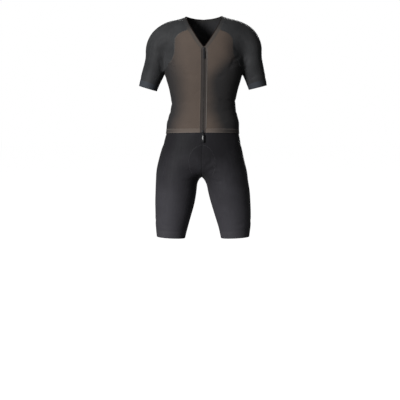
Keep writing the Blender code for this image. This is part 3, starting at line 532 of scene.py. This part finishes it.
# x and y where the line down the middle of each arm starts, and its tilt in degrees
ARM_AXES = {"right": (-0.131, 0.008, -15.5), "left": (0.134, 0.008, 14.5)}
for side, axis in ARM_AXES.items():
    sleeve_knit = knit(
        f"sleeve_knit_{side}", SLEEVE_GREYS, axis, 0, SLEEVE_PITCH,
        roughness=0.50, relief=0.00007, sheen_streaks=0.3,
    )
    cut_from_skin(f"raglan_{side}", f"sleeve_{side}", sleeve_knit)

# ---- the cuff bands
# Elastic bands of polyamide and elastane, 24 mm wide, that are bonded round the ends of the sleeves and grip
# the arm. They are a cooler grey than the sleeves.
BAND_GREYS = ((0.031, 0.034, 0.040), (0.025, 0.028, 0.032))
BAND_PITCH = 0.0014
for side, axis in ARM_AXES.items():
    cuff_knit = knit(f"cuff_knit_{side}", BAND_GREYS, axis, 0, BAND_PITCH, roughness=0.55)
    cut_from_skin(f"cuff_{side}", f"cuff_band_{side}", cuff_knit)

# ---- the neck band and its binding
# A soft grey knitted tape is sewn round the neck opening, from one side of the zip round to the other. A
# narrow binding is folded over its edge and stitched through; its dark brown is painted shadow along the edge
# of the opening.
NECK_GREYS = ((0.052, 0.045, 0.040), (0.026, 0.026, 0.0265))
NECK_PITCH = 0.0012
BINDING_ROUND = 0.0008
# the binding's dark browns: painted shadow at the neck's edge
BINDING_SHADOW_BROWNS = ((0.013, 0.0085, 0.0070), (0.009, 0.0065, 0.0060))
BINDING_PITCH = 0.0010
FLAT_UNDER = 1  # degrees between faces, under which they are joined into one
ROUNDED_OVER = 35  # degrees, over which an edge is rounded
ROUNDED_SHARP = 40  # degrees, over which an edge of a rounded piece is still sharp
NECK_DARKER = (-0.064, -0.030)  # the heights between which it turns to the sleeves' grey


def rounded_copy(name, node, material, radius, body="suit"):
    """A CAD node's own shape with its edges rounded, in its place."""
    mesh = bmesh.new()
    mesh.from_mesh(frame["nodes"][node].data)
    bmesh.ops.remove_doubles(mesh, verts=mesh.verts, dist=SAME_POINT)
    bmesh.ops.dissolve_limit(
        mesh, angle_limit=math.radians(FLAT_UNDER), verts=mesh.verts, edges=mesh.edges
    )
    sharp = [edge for edge in mesh.edges if edge.calc_face_angle(0) > math.radians(ROUNDED_OVER)]
    bmesh.ops.bevel(
        mesh, geom=sharp, offset=radius, segments=3, profile=0.5, affect="EDGES", clamp_overlap=True
    )
    data = bpy.data.meshes.new(name)
    mesh.to_mesh(data)
    mesh.free()
    piece = piece_of(data, material, body, ROUNDED_SHARP)
    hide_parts(node)
    return piece


binding_knit = knit("binding_painted_shadow", BINDING_SHADOW_BROWNS, BODY_AXIS, 0, BINDING_PITCH, roughness=0.6)
binding = rounded_copy("neck_edge_binding", "neck_binding", binding_knit, BINDING_ROUND)
neck_knit = knit("neck_tape", NECK_GREYS, BODY_AXIS, 0, NECK_PITCH, roughness=0.65, darker_above=NECK_DARKER)
cut_from_skin(
    "neck_tape", "neck_band", neck_knit
)

# ---- the shorts
# Two legs of a dense near-black stretch knit, each cut in one from its inseam round to its inseam. They
# join at the centre seam and run up plainly under the jersey's free hem in front.
# the shorts' second, darker colour, which they turn to up towards the waist, is painted shade
SHORTS_BLACK_AND_SHADE = ((0.033, 0.0320, 0.0366), (0.0110, 0.0107, 0.0121))
SHORTS_PITCH = 0.0011
SHORTS_SHADE_ABOVE = (-0.86, -0.50)
LEG_ROUND = 0.50
LEG_AXES = {"right": (-0.030, 0.0, -7.2), "left": (-0.003, 0.0, 9.0)}
# the legs' faint streaks are painted sheen
for side, axis in LEG_AXES.items():
    shorts_knit = knit(
        f"shorts_knit_{side}", SHORTS_BLACK_AND_SHADE, axis, LEG_ROUND, SHORTS_PITCH,
        roughness=0.50, relief=DENSE_RELIEF, sheen_streaks=0.4, darker_above=SHORTS_SHADE_ABOVE,
    )
    cut_from_skin(f"leg_{side}", f"shorts_{side}", shorts_knit)

# ---- the leg bands
# Elastic bands, 29 mm wide and dark grey, that are bonded round the ends of the legs as the cuffs are on the
# sleeves. A thin silicone print inside keeps such bands from riding up.
LEG_BAND_GREYS = ((0.040, 0.039, 0.044), (0.033, 0.032, 0.036))
for side, axis in LEG_AXES.items():
    band_knit = knit(f"leg_band_knit_{side}", LEG_BAND_GREYS, axis, LEG_ROUND, BAND_PITCH, roughness=0.52)
    cut_from_skin(f"leg_grip_{side}", f"leg_band_{side}", band_knit)

# ---- the zip's tapes
# Two woven polyester tapes, sewn under the folded edges of the fronts, carry the coil between them. A small
# patch of the neck tape's knit is sewn in behind their top, so that the slider doesn't rub.
TAPE_GREYS = ((0.037, 0.032, 0.030), (0.029, 0.026, 0.0245))
TAPE_PITCH = 0.0009
tape_weave = knit("tape_weave", TAPE_GREYS, BODY_AXIS, 0, TAPE_PITCH, roughness=0.7)
for side in ("right", "left"):
    cut_from_skin(f"tape_{side}", f"zip_tape_{side}", tape_weave)

PATCH_EDGE = (  # x and z of the patch's corners
    (-0.0040, -0.1185), (0.0040, -0.1185), (0.0085, -0.1235), (0.0100, -0.1275),
    (0.0100, -0.1335), (-0.0100, -0.1335), (-0.0100, -0.1275), (-0.0085, -0.1235),
)
PATCH_WALL = 0.0008
PATCH_ROUND = 0.0002
PATCH_AT = (-0.10925, -0.1227)  # y and z of a point on its outer face
PATCH_SLOPE = 0.12
patch_mesh = bmesh.new()
ahead = [patch_mesh.verts.new((x, PATCH_AT[0] + PATCH_SLOPE * (z - PATCH_AT[1]), z)) for x, z in PATCH_EDGE]
behind = [patch_mesh.verts.new(corner.co + Vector((0, PATCH_WALL, 0))) for corner in ahead]
patch_mesh.faces.new(ahead)
patch_mesh.faces.new(behind[::-1])
for i in range(len(PATCH_EDGE)):
    patch_mesh.faces.new((ahead[i - 1], behind[i - 1], behind[i], ahead[i]))
bmesh.ops.recalc_face_normals(patch_mesh, faces=patch_mesh.faces)
bmesh.ops.bevel(
    patch_mesh, geom=patch_mesh.edges[:], offset=PATCH_ROUND, segments=2, profile=0.5, affect="EDGES"
)
patch_data = bpy.data.meshes.new("zip_garage")
patch_mesh.to_mesh(patch_data)
patch_mesh.free()
patch = piece_of(patch_data, neck_knit)

# ---- the coil
# The zip is a moulded nylon coil: two rows of small teeth that lock over a cord, with the tapes' woven
# edges under them.
TOOTH_PITCH = 0.0013
TOOTH_SIZE = (0.00125, 0.00042, 0.00055)  # half its length across, its half height up and out
TOOTH_OFFSET = 0.0008
TOOTH_SIDES = 8
TOOTH_RINGS = 3
TOOTH_FULLNESS = 0.5  # below 1 a tooth keeps its girth nearly to its ends
TOOTH_START = 0.25  # of the pitch, from the zip's lower end
COIL_WALL = 0.0020
COIL_ROUND = 0.0003
ZIP_REACH = 0.004  # the zip's direction is taken over this far on both sides
GRAIN = {"Scale": 900.0, "Detail": 2.0}
GRAIN_DEPTH = 0.00003
WEAR = {"Scale": 160.0, "Detail": 3.0}
WEAR_STOPS = (0.35, 0.75)
WORN_LIGHTER = 1.5


def plastic(name, colour, roughness, metallic=0.0, gloss=0.5):
    """A moulded or lacquered finish with a fine grain and worn, slightly lighter patches."""
    material, tree, shader = new_finish(name)
    place = add_node(tree, "TexCoord", {}).outputs["Object"]
    grain = add_node(tree, "TexNoise", {"Vector": place, **GRAIN}).outputs["Fac"]
    set_bump(tree, shader, grain, GRAIN_DEPTH)
    wear = add_node(tree, "TexNoise", {"Vector": place, **WEAR}).outputs["Fac"]
    worn = tuple(channel * WORN_LIGHTER for channel in colour)
    tree.links.new(two_tones(tree, wear, WEAR_STOPS, (colour, worn)), shader.inputs["Base Color"])
    shader.inputs["Roughness"].default_value = roughness
    shader.inputs["Metallic"].default_value = metallic
    shader.inputs["Specular IOR Level"].default_value = gloss
    return material


def bead(centre, axes, sizes):
    """The points and faces of a small rounded tooth along the first of its axes."""
    made = [centre - axes[0] * sizes[0]]
    for i in range(1, TOOTH_RINGS + 1):
        turn = math.pi * i / (TOOTH_RINGS + 1)
        middle = centre - axes[0] * sizes[0] * math.cos(turn)
        girth = math.sin(turn) ** TOOTH_FULLNESS
        for j in range(TOOTH_SIDES):
            around = math.tau * j / TOOTH_SIDES
            one_way = axes[1] * sizes[1] * girth * math.cos(around)
            other_way = axes[2] * sizes[2] * girth * math.sin(around)
            made.append(middle + one_way + other_way)
    made.append(centre + axes[0] * sizes[0])
    last = len(made) - 1
    faces = []
    for j in range(TOOTH_SIDES):
        k = (j + 1) % TOOTH_SIDES
        faces.append((0, 1 + k, 1 + j))
        for i in range(TOOTH_RINGS - 1):
            low, high = 1 + i * TOOTH_SIDES, 1 + (i + 1) * TOOTH_SIDES
            faces.append((low + j, low + k, high + k, high + j))
        top = 1 + (TOOTH_RINGS - 1) * TOOTH_SIDES
        faces.append((top + j, top + k, last))
    if np.cross(axes[0], axes[1]) @ axes[2] < 0:
        faces = [face[::-1] for face in faces]
    return made, faces


def joined(bodies):
    """The points and faces of many small bodies in one list each."""
    vertices, faces = [], []
    for made, own in bodies:
        start = len(vertices)
        vertices += [tuple(point) for point in made]
        faces += [tuple(start + i for i in face) for face in own]
    return vertices, faces


def lengths_of(line):
    """How far along a line each of its points lies."""
    return np.concatenate([[0], np.cumsum(np.linalg.norm(np.diff(line, axis=0), axis=1))])


def at_length(length, marks, values):
    """Values given at marked lengths of a line, as they are at other lengths of it."""
    return np.stack([np.interp(length, marks, column) for column in values.T], axis=-1)


coil_plastic = plastic("coil_nylon", (0.024, 0.022, 0.021), roughness=0.48, gloss=0.3)
rounded_copy("coil_strip", "zip_chain", tape_weave, COIL_ROUND)
chain = outer_side("zip_chain", COIL_WALL)
ends = sorted(chain.verts, key=lambda vertex: vertex.co.z)
zip_line = np.array([(a.co + b.co) / 2 for a, b in zip(ends[::2], ends[1::2])])
zip_out = np.array([(a.normal + b.normal).normalized() for a, b in zip(ends[::2], ends[1::2])])
chain.free()
zip_marks = lengths_of(zip_line)


def on_zip(length):
    """A place on the zip's middle line, and its outward and upward directions."""
    place = at_length(length, zip_marks, zip_line)
    out = at_length(length, zip_marks, zip_out)
    ahead = at_length(length + ZIP_REACH, zip_marks, zip_line)
    behind = at_length(length - ZIP_REACH, zip_marks, zip_line)
    up = (ahead - behind) / np.linalg.norm(ahead - behind)
    out -= up * (out @ up)
    out /= np.linalg.norm(out)
    return place, out, up


teeth = []
for i in range(int(zip_marks[-1] / TOOTH_PITCH)):
    for side, late in ((-1, 0.0), (1, 0.5)):
        place, out, up = on_zip((i + late + TOOTH_START) * TOOTH_PITCH)
        across = np.cross(up, out) * side
        teeth.append(bead(place + across * TOOTH_OFFSET, (across, up, out), TOOTH_SIZE))
coil = new_piece("coil_teeth", *joined(teeth), coil_plastic)

# ---- the sliders
# Two cast sliders in dark lacquer: one stands closed at the neck, and the other at the hem opens the zip
# from below. Each has a bail that its pull hangs from.
SLIDER_ROUND = 0.00022
slider_metal = plastic("slider_lacquer", (0.034, 0.034, 0.036), roughness=0.32, metallic=1.0)
for end in ("top", "lower"):
    rounded_copy(f"{end}_slider", f"zip_{end}_slider", slider_metal, SLIDER_ROUND)

# ---- the pulls
# Flat links with moulded rubber grips, loose on the sliders' bails. The grips have low ribs for the fingers,
# and the lower one has a plain pale stripe let into its face.
GRIP_ROUND = 0.00030
RIB_HEIGHT = 0.00035  # half of it, up and out
RIB_PITCH = 0.0021
STRIPE_SIZE = (0.0100, 0.0011, 0.0005)
STRIPE_DOWN = 0.0265  # from the axis to the stripe's middle
# how far down from the axis the ribs begin and end, and half their width
PULLS = {"top": {"ribs": (0.020, 0.036), "width": 0.0021}, "lower": {"ribs": (0.037, 0.042), "width": 0.0034}}
pull_rubber = plastic("pull_rubber", (0.008, 0.008, 0.009), roughness=0.62, gloss=0.12)
stripe_rubber = plastic("stripe_rubber", (0.33, 0.33, 0.325), roughness=0.5)
for end, sizes in PULLS.items():
    body, node = f"{end}_pull", f"zip_{end}_pull"
    rounded_copy(f"{end}_grip", node, pull_rubber, GRIP_ROUND, body=body)
    cloud = np.array([vertex.co for vertex in frame["nodes"][node].data.vertices])
    axis_at = np.array(next(joint["pos_m"] for joint in frame["joints"] if joint["child"] == body))
    _, _, (up, across, out) = np.linalg.svd(cloud - cloud.mean(axis=0), full_matrices=False)
    up *= np.sign(up[2])
    out *= -np.sign(out[1])
    across = np.cross(up, out)
    face_at = ((cloud - axis_at) @ out).max()
    ribs = []
    for down in np.arange(*sizes["ribs"], RIB_PITCH):
        place = axis_at - up * down + out * face_at
        ribs.append(bead(place, (across, up, out), (sizes["width"], RIB_HEIGHT, RIB_HEIGHT)))
    grip_ribs = new_piece(f"{end}_grip_ribs", *joined(ribs), pull_rubber, body=body)
    if end == "lower":
        place = axis_at - up * STRIPE_DOWN + out * face_at
        stripe = bead(place, (up, -across, out), STRIPE_SIZE)
        stripe_piece = new_piece("lower_grip_stripe", *joined([stripe]), stripe_rubber, body=body)

# ---- the flatlock seams
# Pieces that meet are flatlocked: their edges lie side by side under a flat band of thread that crosses
# from one to the other. Where the back meets the shorts the same seam runs round the waist.
STITCH_PITCH = 0.0021
STITCH_SIZE = (0.0023, 0.00042, 0.00026)  # half its length across the seam, along it and out of the cloth
STITCH_SLANT = 0.16
CENTRE_PITCH = 0.0013
# wider than the other stitches, so that with their near-black thread they make a line of painted shadow along
# the centre seam
CENTRE_STITCH = (0.0026, 0.0006, 0.0003)
STITCH_SUNK = 0.00008
STITCH_SHARP = 20  # degrees between faces, over which an edge of a stitch is sharp
TWIST = {"Scale": 900.0, "Distortion": 1.5}
TWIST_DEPTH = 0.00006
THREAD_TONE_SCALE = 420.0
THREAD_STOPS = (0.3, 0.7)
THREAD_TONES = (0.75, 1.2)  # of its colour, darkest and lightest
THREAD_ROUGHNESS = 0.6
THREAD_GLOSS = 0.12


def thread(name, colour):
    """Spun polyester thread with a fine twist and a slight difference in tone from stitch to stitch."""
    material, tree, shader = new_finish(name)
    place = add_node(tree, "TexCoord", {}).outputs["Object"]
    twist = add_node(tree, "TexWave", {"Vector": place, **TWIST}, bands_direction="DIAGONAL")
    set_bump(tree, shader, twist.outputs["Fac"], TWIST_DEPTH)
    tone = add_node(tree, "TexNoise", {"Vector": place, "Scale": THREAD_TONE_SCALE})
    colours = [tuple(channel * share for channel in colour) for share in THREAD_TONES]
    shown = two_tones(tree, tone.outputs["Fac"], THREAD_STOPS, colours)
    tree.links.new(shown, shader.inputs["Base Color"])
    shader.inputs["Roughness"].default_value = THREAD_ROUGHNESS
    shader.inputs["Specular IOR Level"].default_value = THREAD_GLOSS
    return material


def runs_of(edges):
    """The unbroken lines that a set of edges makes, as lists of point numbers."""
    beside = {}
    for a, b in edges.tolist():
        beside.setdefault(a, []).append(b)
        beside.setdefault(b, []).append(a)
    left = {(min(edge), max(edge)) for edge in edges.tolist()}
    runs = []
    for start in sorted(beside, key=lambda point: (len(beside[point]) == 2, point)):
        for onward in beside[start]:
            if (min(start, onward), max(start, onward)) not in left:
                continue
            run = [start]
            while onward is not None:
                left.discard((min(run[-1], onward), max(run[-1], onward)))
                run.append(onward)
                ways = beside[onward] if len(beside[onward]) == 2 else ()
                onward = next((way for way in ways if (min(run[-1], way), max(run[-1], way)) in left), None)
            runs.append(run)
    return runs


def along_runs(edges, pitch):
    """Evenly spaced places along lines of the skin, each with its outward and onward directions."""
    places = []
    for run in runs_of(edges):
        line, out = points[run], normals[run]
        marks = lengths_of(line)
        at = np.linspace(0, marks[-1], max(2, round(marks[-1] / pitch)) + 1)
        at = (at[1:] + at[:-1]) / 2
        facing = at_length(at, marks, out)
        facing /= np.linalg.norm(facing, axis=1, keepdims=True)
        onward = at_length(at + pitch, marks, line) - at_length(at - pitch, marks, line)
        onward /= np.linalg.norm(onward, axis=1, keepdims=True)
        places += zip(at_length(at, marks, line), facing, onward)
    return places


def lozenge(centre, long_way, short_way, out, sizes):
    """A stitch: a slim eight-sided body, pointed at both ends."""
    half, width, height = sizes
    made = [
        centre - long_way * half, centre + long_way * half, centre - short_way * width,
        centre + short_way * width, centre - out * height, centre + out * height,
    ]
    faces = [(0, 5, 2), (2, 5, 1), (1, 5, 3), (3, 5, 0), (0, 2, 4), (2, 1, 4), (1, 3, 4), (3, 0, 4)]
    if np.dot(np.cross(short_way, out), long_way) > 0:
        faces = [face[::-1] for face in faces]
    return made, faces


def sew(name, edges, material, pitch=STITCH_PITCH, sizes=STITCH_SIZE):
    """A row of stitches along lines of the skin, which cross them at a slant to one side and the other."""
    stitches = []
    for number, (place, out, onward) in enumerate(along_runs(edges, pitch)):
        across = np.cross(out, onward)
        across /= np.linalg.norm(across)
        lean = STITCH_SLANT if number % 2 else -STITCH_SLANT
        long_way = across * math.cos(lean) + onward * math.sin(lean)
        short_way = np.cross(out, long_way)
        stitches.append(lozenge(place + out * STITCH_SUNK, long_way, short_way, out, sizes))
    row = new_piece(name, *joined(stitches), material, sharp=STITCH_SHARP)


all_edges = np.sort(edges_of(quads), axis=1)
order = np.lexsort(all_edges.T)
sorted_edges, sorted_cut = all_edges[order], np.tile(cuts, 4)[order]
paired = (sorted_edges[1:] == sorted_edges[:-1]).all(axis=1)
first = np.flatnonzero(paired)
two_cuts = np.stack([sorted_cut[first], sorted_cut[first + 1]], axis=1)
alone = np.ones(len(sorted_edges), bool)
alone[first] = alone[first + 1] = False


def seam(*names):
    """The edges between pieces whose node names start with these words."""
    numbers = [i for i, node in enumerate(PANELS) if node.startswith(names)]
    kept = (two_cuts[:, 0] != two_cuts[:, 1]) & np.isin(two_cuts, numbers).all(axis=1)
    return sorted_edges[first[kept]]


def free_edge(*names):
    """The free edges of pieces whose node names start with these words."""
    numbers = [i for i, node in enumerate(PANELS) if node.startswith(names)]
    return sorted_edges[alone & np.isin(sorted_cut, numbers)]


front_thread = thread("front_thread", (0.108, 0.095, 0.085))
jersey_thread = thread("jersey_thread", (0.034, 0.033, 0.033))
# near black: real thread that is also a painted shadow line along the centre seam
shorts_thread_and_shadow = thread("shorts_thread_and_shadow", (0.0035, 0.0035, 0.004))
for side in ("right", "left"):
    sew(f"raglan_stitches_{side}", seam(f"front_mesh_{side}", f"sleeve_{side}"), front_thread)
    sew(f"side_stitches_{side}", seam(f"front_mesh_{side}", "back_panel"), jersey_thread)
    sew(f"back_raglan_stitches_{side}", seam("back_panel", f"sleeve_{side}"), jersey_thread)
    sew(f"hem_stitches_{side}", seam(f"front_mesh_{side}", f"hem_band_{side}"), front_thread)
sew("neck_stitches", seam("neck_band", "sleeve", "front_mesh", "back_panel"), jersey_thread)
sew("waist_stitches", free_edge("back_panel"), jersey_thread)
sew("centre_stitches", seam("shorts"), shorts_thread_and_shadow, CENTRE_PITCH, CENTRE_STITCH)

# ---- the pad's stitching
# A stretch foam pad lies inside the shorts. It is sewn in round its edge, and the seam shows outside as a
# fine raised line on both sides of the centre seam, in front and behind.
PAD_THREAD = (0.060, 0.060, 0.065)
PAD_STITCH = (0.0012, 0.0006, 0.0005)
PAD_PITCH = 0.0026
PAD_LINES = {  # the side that each is on, in y, and then its x and z in millimetres from the top down
    "front_right": (-1, (-10, -523), (-30, -530), (-52, -552), (-62, -585), (-58, -622), (-46, -646)),
    "front_left": (-1, (-6, -523), (16, -531), (36, -555), (46, -590), (44, -625), (34, -650)),
    "back_right": (1, (-12, -500), (-50, -512), (-82, -545), (-86, -590), (-66, -632), (-48, -655)),
    "back_left": (1, (0, -500), (38, -512), (70, -545), (74, -590), (56, -632), (36, -655)),
}
CURVE_STEPS = 160


def smooth_line(corners):
    """Evenly spaced points of a smooth curve through a few corners."""
    corners = np.array(corners) / 1000
    ends = np.vstack([2 * corners[0] - corners[1], corners, 2 * corners[-1] - corners[-2]])
    made = []
    for a, b, c, d in zip(ends, ends[1:], ends[2:], ends[3:]):
        for t in np.linspace(0, 1, CURVE_STEPS // (len(corners) - 1), endpoint=False):
            bend = (2 * a - 5 * b + 4 * c - d) * t**2
            made.append(0.5 * (2 * b + (c - a) * t + bend + (3 * b - a - 3 * c + d) * t**3))
    made = np.array(made + [corners[-1]])
    marks = lengths_of(made)
    return at_length(np.arange(0, marks[-1], PAD_PITCH), marks, made)


shorts_quads = quads[np.isin(cuts, [PANELS.index("shorts_right"), PANELS.index("shorts_left")])]
shorts_side = BVHTree.FromPolygons([Vector(point) for point in points], shorts_quads.tolist())
pad_thread = thread("pad_thread", PAD_THREAD)
for name, (facing, *corners) in PAD_LINES.items():
    spots = []
    for x, z in smooth_line(corners):
        place, out, _, _ = shorts_side.ray_cast(Vector((x, facing, z)), Vector((0, -facing, 0)))
        if place is not None:
            spots.append((np.array(place), np.array(out)))
    stitches = []
    for (place, out), (later, _) in zip(spots, spots[1:]):
        onward = later - place
        onward /= np.linalg.norm(onward)
        across = np.cross(out, onward)
        across /= np.linalg.norm(across)
        out = np.cross(onward, across)
        stitches.append(lozenge(place + out * STITCH_SUNK, onward, across, out, PAD_STITCH))
    pad_row = new_piece(f"pad_stitches_{name}", *joined(stitches), pad_thread, sharp=STITCH_SHARP)

# ---- the folded edges
# Beside the zip each front's edge is folded back on itself, so it is double there and rounder than the single
# mesh, and it is topstitched to the tape under it. The hem tapes are folded double at their foot.
FOLD_SIZE = (0.0017, 0.0007)  # half its width and its height
FOLD_ASIDE = 0.0014
FOLD_RISE = 0.0005
FOLD_PITCH = 0.004
FOLD_ENDS = 0.0019  # from the first and the last ring to the ends of the fold
FOLD_SIDES = 10
FOLD_END_HEIGHT = 0.5  # of its full height, which it has from the third ring on
FOLD_END_RINGS = 2
FRONT_FOLD_WITHIN = 0.025  # of the middle
FOLD_TAUPE_AND_HIGHLIGHT = {
    "right": ((0.066, 0.054, 0.046), (0.056, 0.046, 0.040)),
    # the left fold is lighter than the mesh: a painted highlight on the edge that faces the key light
    "left": ((0.092, 0.082, 0.076), (0.076, 0.068, 0.063)),
}
HEM_FOLD_SIZE = (0.0012, 0.0006)
HEM_FOLD_ASIDE = 0.0012
# the hem fold turns to its second, darker colour as the mesh does: painted shade, strongest on the left front
HEM_FOLD_TAUPE_AND_SHADE = ((0.122, 0.103, 0.091), (0.056, 0.050, 0.046))


def folded_edge(name, edges, within, material, size, aside, rise):
    """A low rounded fold along an edge of the skin, on the side of it that the direction within gives."""
    spots = along_runs(edges, FOLD_PITCH)
    along = spots[len(spots) // 2][2]
    spots = [(place, out, onward * np.sign(onward @ along)) for place, out, onward in spots]
    spots.sort(key=lambda spot: spot[0] @ along)
    for end, way in ((0, -1), (-1, 1)):
        place, out, onward = spots[end]
        spots.insert(0 if way < 0 else len(spots), (place + onward * way * FOLD_ENDS, out, onward))
    vertices, faces = [], []
    for number, (place, out, onward) in enumerate(spots):
        from_end = min(number, len(spots) - 1 - number) / FOLD_END_RINGS
        fullness = min(1, FOLD_END_HEIGHT + (1 - FOLD_END_HEIGHT) * from_end)
        across = np.cross(onward, out)
        across *= np.sign(across @ within) / np.linalg.norm(across)
        for i in range(FOLD_SIDES):
            turn = math.tau * i / FOLD_SIDES
            beside = across * (aside + size[0] * math.cos(turn))
            vertices.append(place + beside + out * (rise + size[1] * math.sin(turn)) * fullness)
    for ring in range(len(spots) - 1):
        low, high = ring * FOLD_SIDES, (ring + 1) * FOLD_SIDES
        for i in range(FOLD_SIDES):
            k = (i + 1) % FOLD_SIDES
            faces.append((low + i, low + k, high + k, high + i))
    last = (len(spots) - 1) * FOLD_SIDES
    faces += [tuple(range(FOLD_SIDES))[::-1], tuple(range(last, last + FOLD_SIDES))]
    if np.cross(across, out) @ onward < 0:
        faces = [face[::-1] for face in faces]
    fold = new_piece(name, vertices, faces, material)


for side, outward in (("right", -1), ("left", 1)):
    fold_knit = knit(f"folded_mesh_{side}", FOLD_TAUPE_AND_HIGHLIGHT[side], BODY_AXIS, 0, HEM_PITCH, roughness=0.65)
    edges = free_edge(f"front_mesh_{side}")
    edges = edges[(np.abs(points[edges][..., 0]) < FRONT_FOLD_WITHIN).all(axis=1)]
    folded_edge(
        f"front_{side}_fold", edges, (outward, 0, 0), fold_knit,
        FOLD_SIZE, FOLD_ASIDE, FOLD_RISE,
    )
    hem_fold_knit = knit(
        f"hem_fold_{side}", HEM_FOLD_TAUPE_AND_SHADE, BODY_AXIS, BODY_ROUND, HEM_PITCH,
        roughness=0.65, spread=MESH_GREY_AND_SHADE_SPREAD[side],
    )
    edges = free_edge(f"hem_band_{side}")
    run = points[edges[:, 1]] - points[edges[:, 0]]
    edges = edges[np.abs(run[:, 2]) < np.linalg.norm(run[:, :2], axis=1)]
    folded_edge(
        f"hem_{side}_fold", edges, (0, 0, 1), hem_fold_knit,
        HEM_FOLD_SIZE, HEM_FOLD_ASIDE, rise=0,
    )

# ---- the studio
# A pale floor lies far below the suit, at the height that a wearer would stand on, under a white surround.
# Three large soft lights stand round it: the key on the right side's front, a weak fill and one behind.
FLOOR_HEIGHT = -1.53
FLOOR_RADIUS = 60.0
SURROUND_LIGHT = 0.16  # of the white surround, on the suit
SURROUND_SEEN = 1.0
FLOOR_GLOW = 0.85
FLOOR_WHITE = (0.92, 0.92, 0.92, 1)
floor_finish, _, floor_shader = new_finish("studio_floor")
floor_shader.inputs["Base Color"].default_value = FLOOR_WHITE
floor_shader.inputs["Roughness"].default_value = 0.9
floor_shader.inputs["Emission Color"].default_value = (1, 1, 1, 1)
floor_shader.inputs["Emission Strength"].default_value = FLOOR_GLOW
floor_mesh = bmesh.new()
bmesh.ops.create_circle(floor_mesh, cap_ends=True, segments=64, radius=FLOOR_RADIUS)
floor_data = bpy.data.meshes.new("studio_floor")
floor_mesh.to_mesh(floor_data)
floor_mesh.free()
floor_data.materials.append(floor_finish)
floor = bpy.data.objects.new("studio_floor", floor_data)
floor.location.z = FLOOR_HEIGHT
bpy.context.scene.collection.objects.link(floor)
# its bounce on the suit is part of the surround's light
floor.visible_diffuse = floor.visible_glossy = False

world = bpy.data.worlds.new("studio")
bpy.context.scene.world = world
world.use_nodes = True
surround = world.node_tree.nodes["Background"]
surround.inputs["Color"].default_value = (1, 1, 1, 1)
ray = add_node(world.node_tree, "LightPath", {})
seen_or_lit = add_node(
    world.node_tree, "MapRange",
    {"Value": ray.outputs["Is Camera Ray"], "To Min": SURROUND_LIGHT, "To Max": SURROUND_SEEN},
)
world.node_tree.links.new(seen_or_lit.outputs[0], surround.inputs["Strength"])

LIGHTS = (  # where each stands, its size and its power
    ("key", (-3.05, -3.95, 0.8), 1.5, 455.0),
    ("fill", (1.8, -4.6, 0.9), 1.8, 14.0),
    ("back", (0.6, 4.6, 0.9), 2.4, 150.0),
)
AIM = Vector((0, 0, -0.55))
for name, place, size, power in LIGHTS:
    lamp = bpy.data.lights.new(name, "AREA")
    lamp.size = size
    lamp.energy = power
    stand = bpy.data.objects.new(name, lamp)
    stand.location = place
    stand.rotation_euler = (AIM - stand.location).to_track_quat("-Z", "Y").to_euler()
    bpy.context.scene.collection.objects.link(stand)

bpy.context.scene.view_settings.view_transform = "Standard"

# ---- the camera
# The camera stands in front at the height of the waist, five metres away, and looks down a little, so that
# there is room below the legs.
CAMERA_PLACE = Vector((-0.016, -5.0, -0.441))
CAMERA_AIM = Vector((-0.016, 0.0, -0.756))
CAMERA_ANGLE = 19.1
lens = bpy.data.cameras.new("camera")
lens.angle = math.radians(CAMERA_ANGLE)
camera = bpy.data.objects.new("camera", lens)
camera.location = CAMERA_PLACE
camera.rotation_euler = (CAMERA_AIM - CAMERA_PLACE).to_track_quat("-Z", "Y").to_euler()
bpy.context.scene.collection.objects.link(camera)
bpy.context.scene.camera = camera
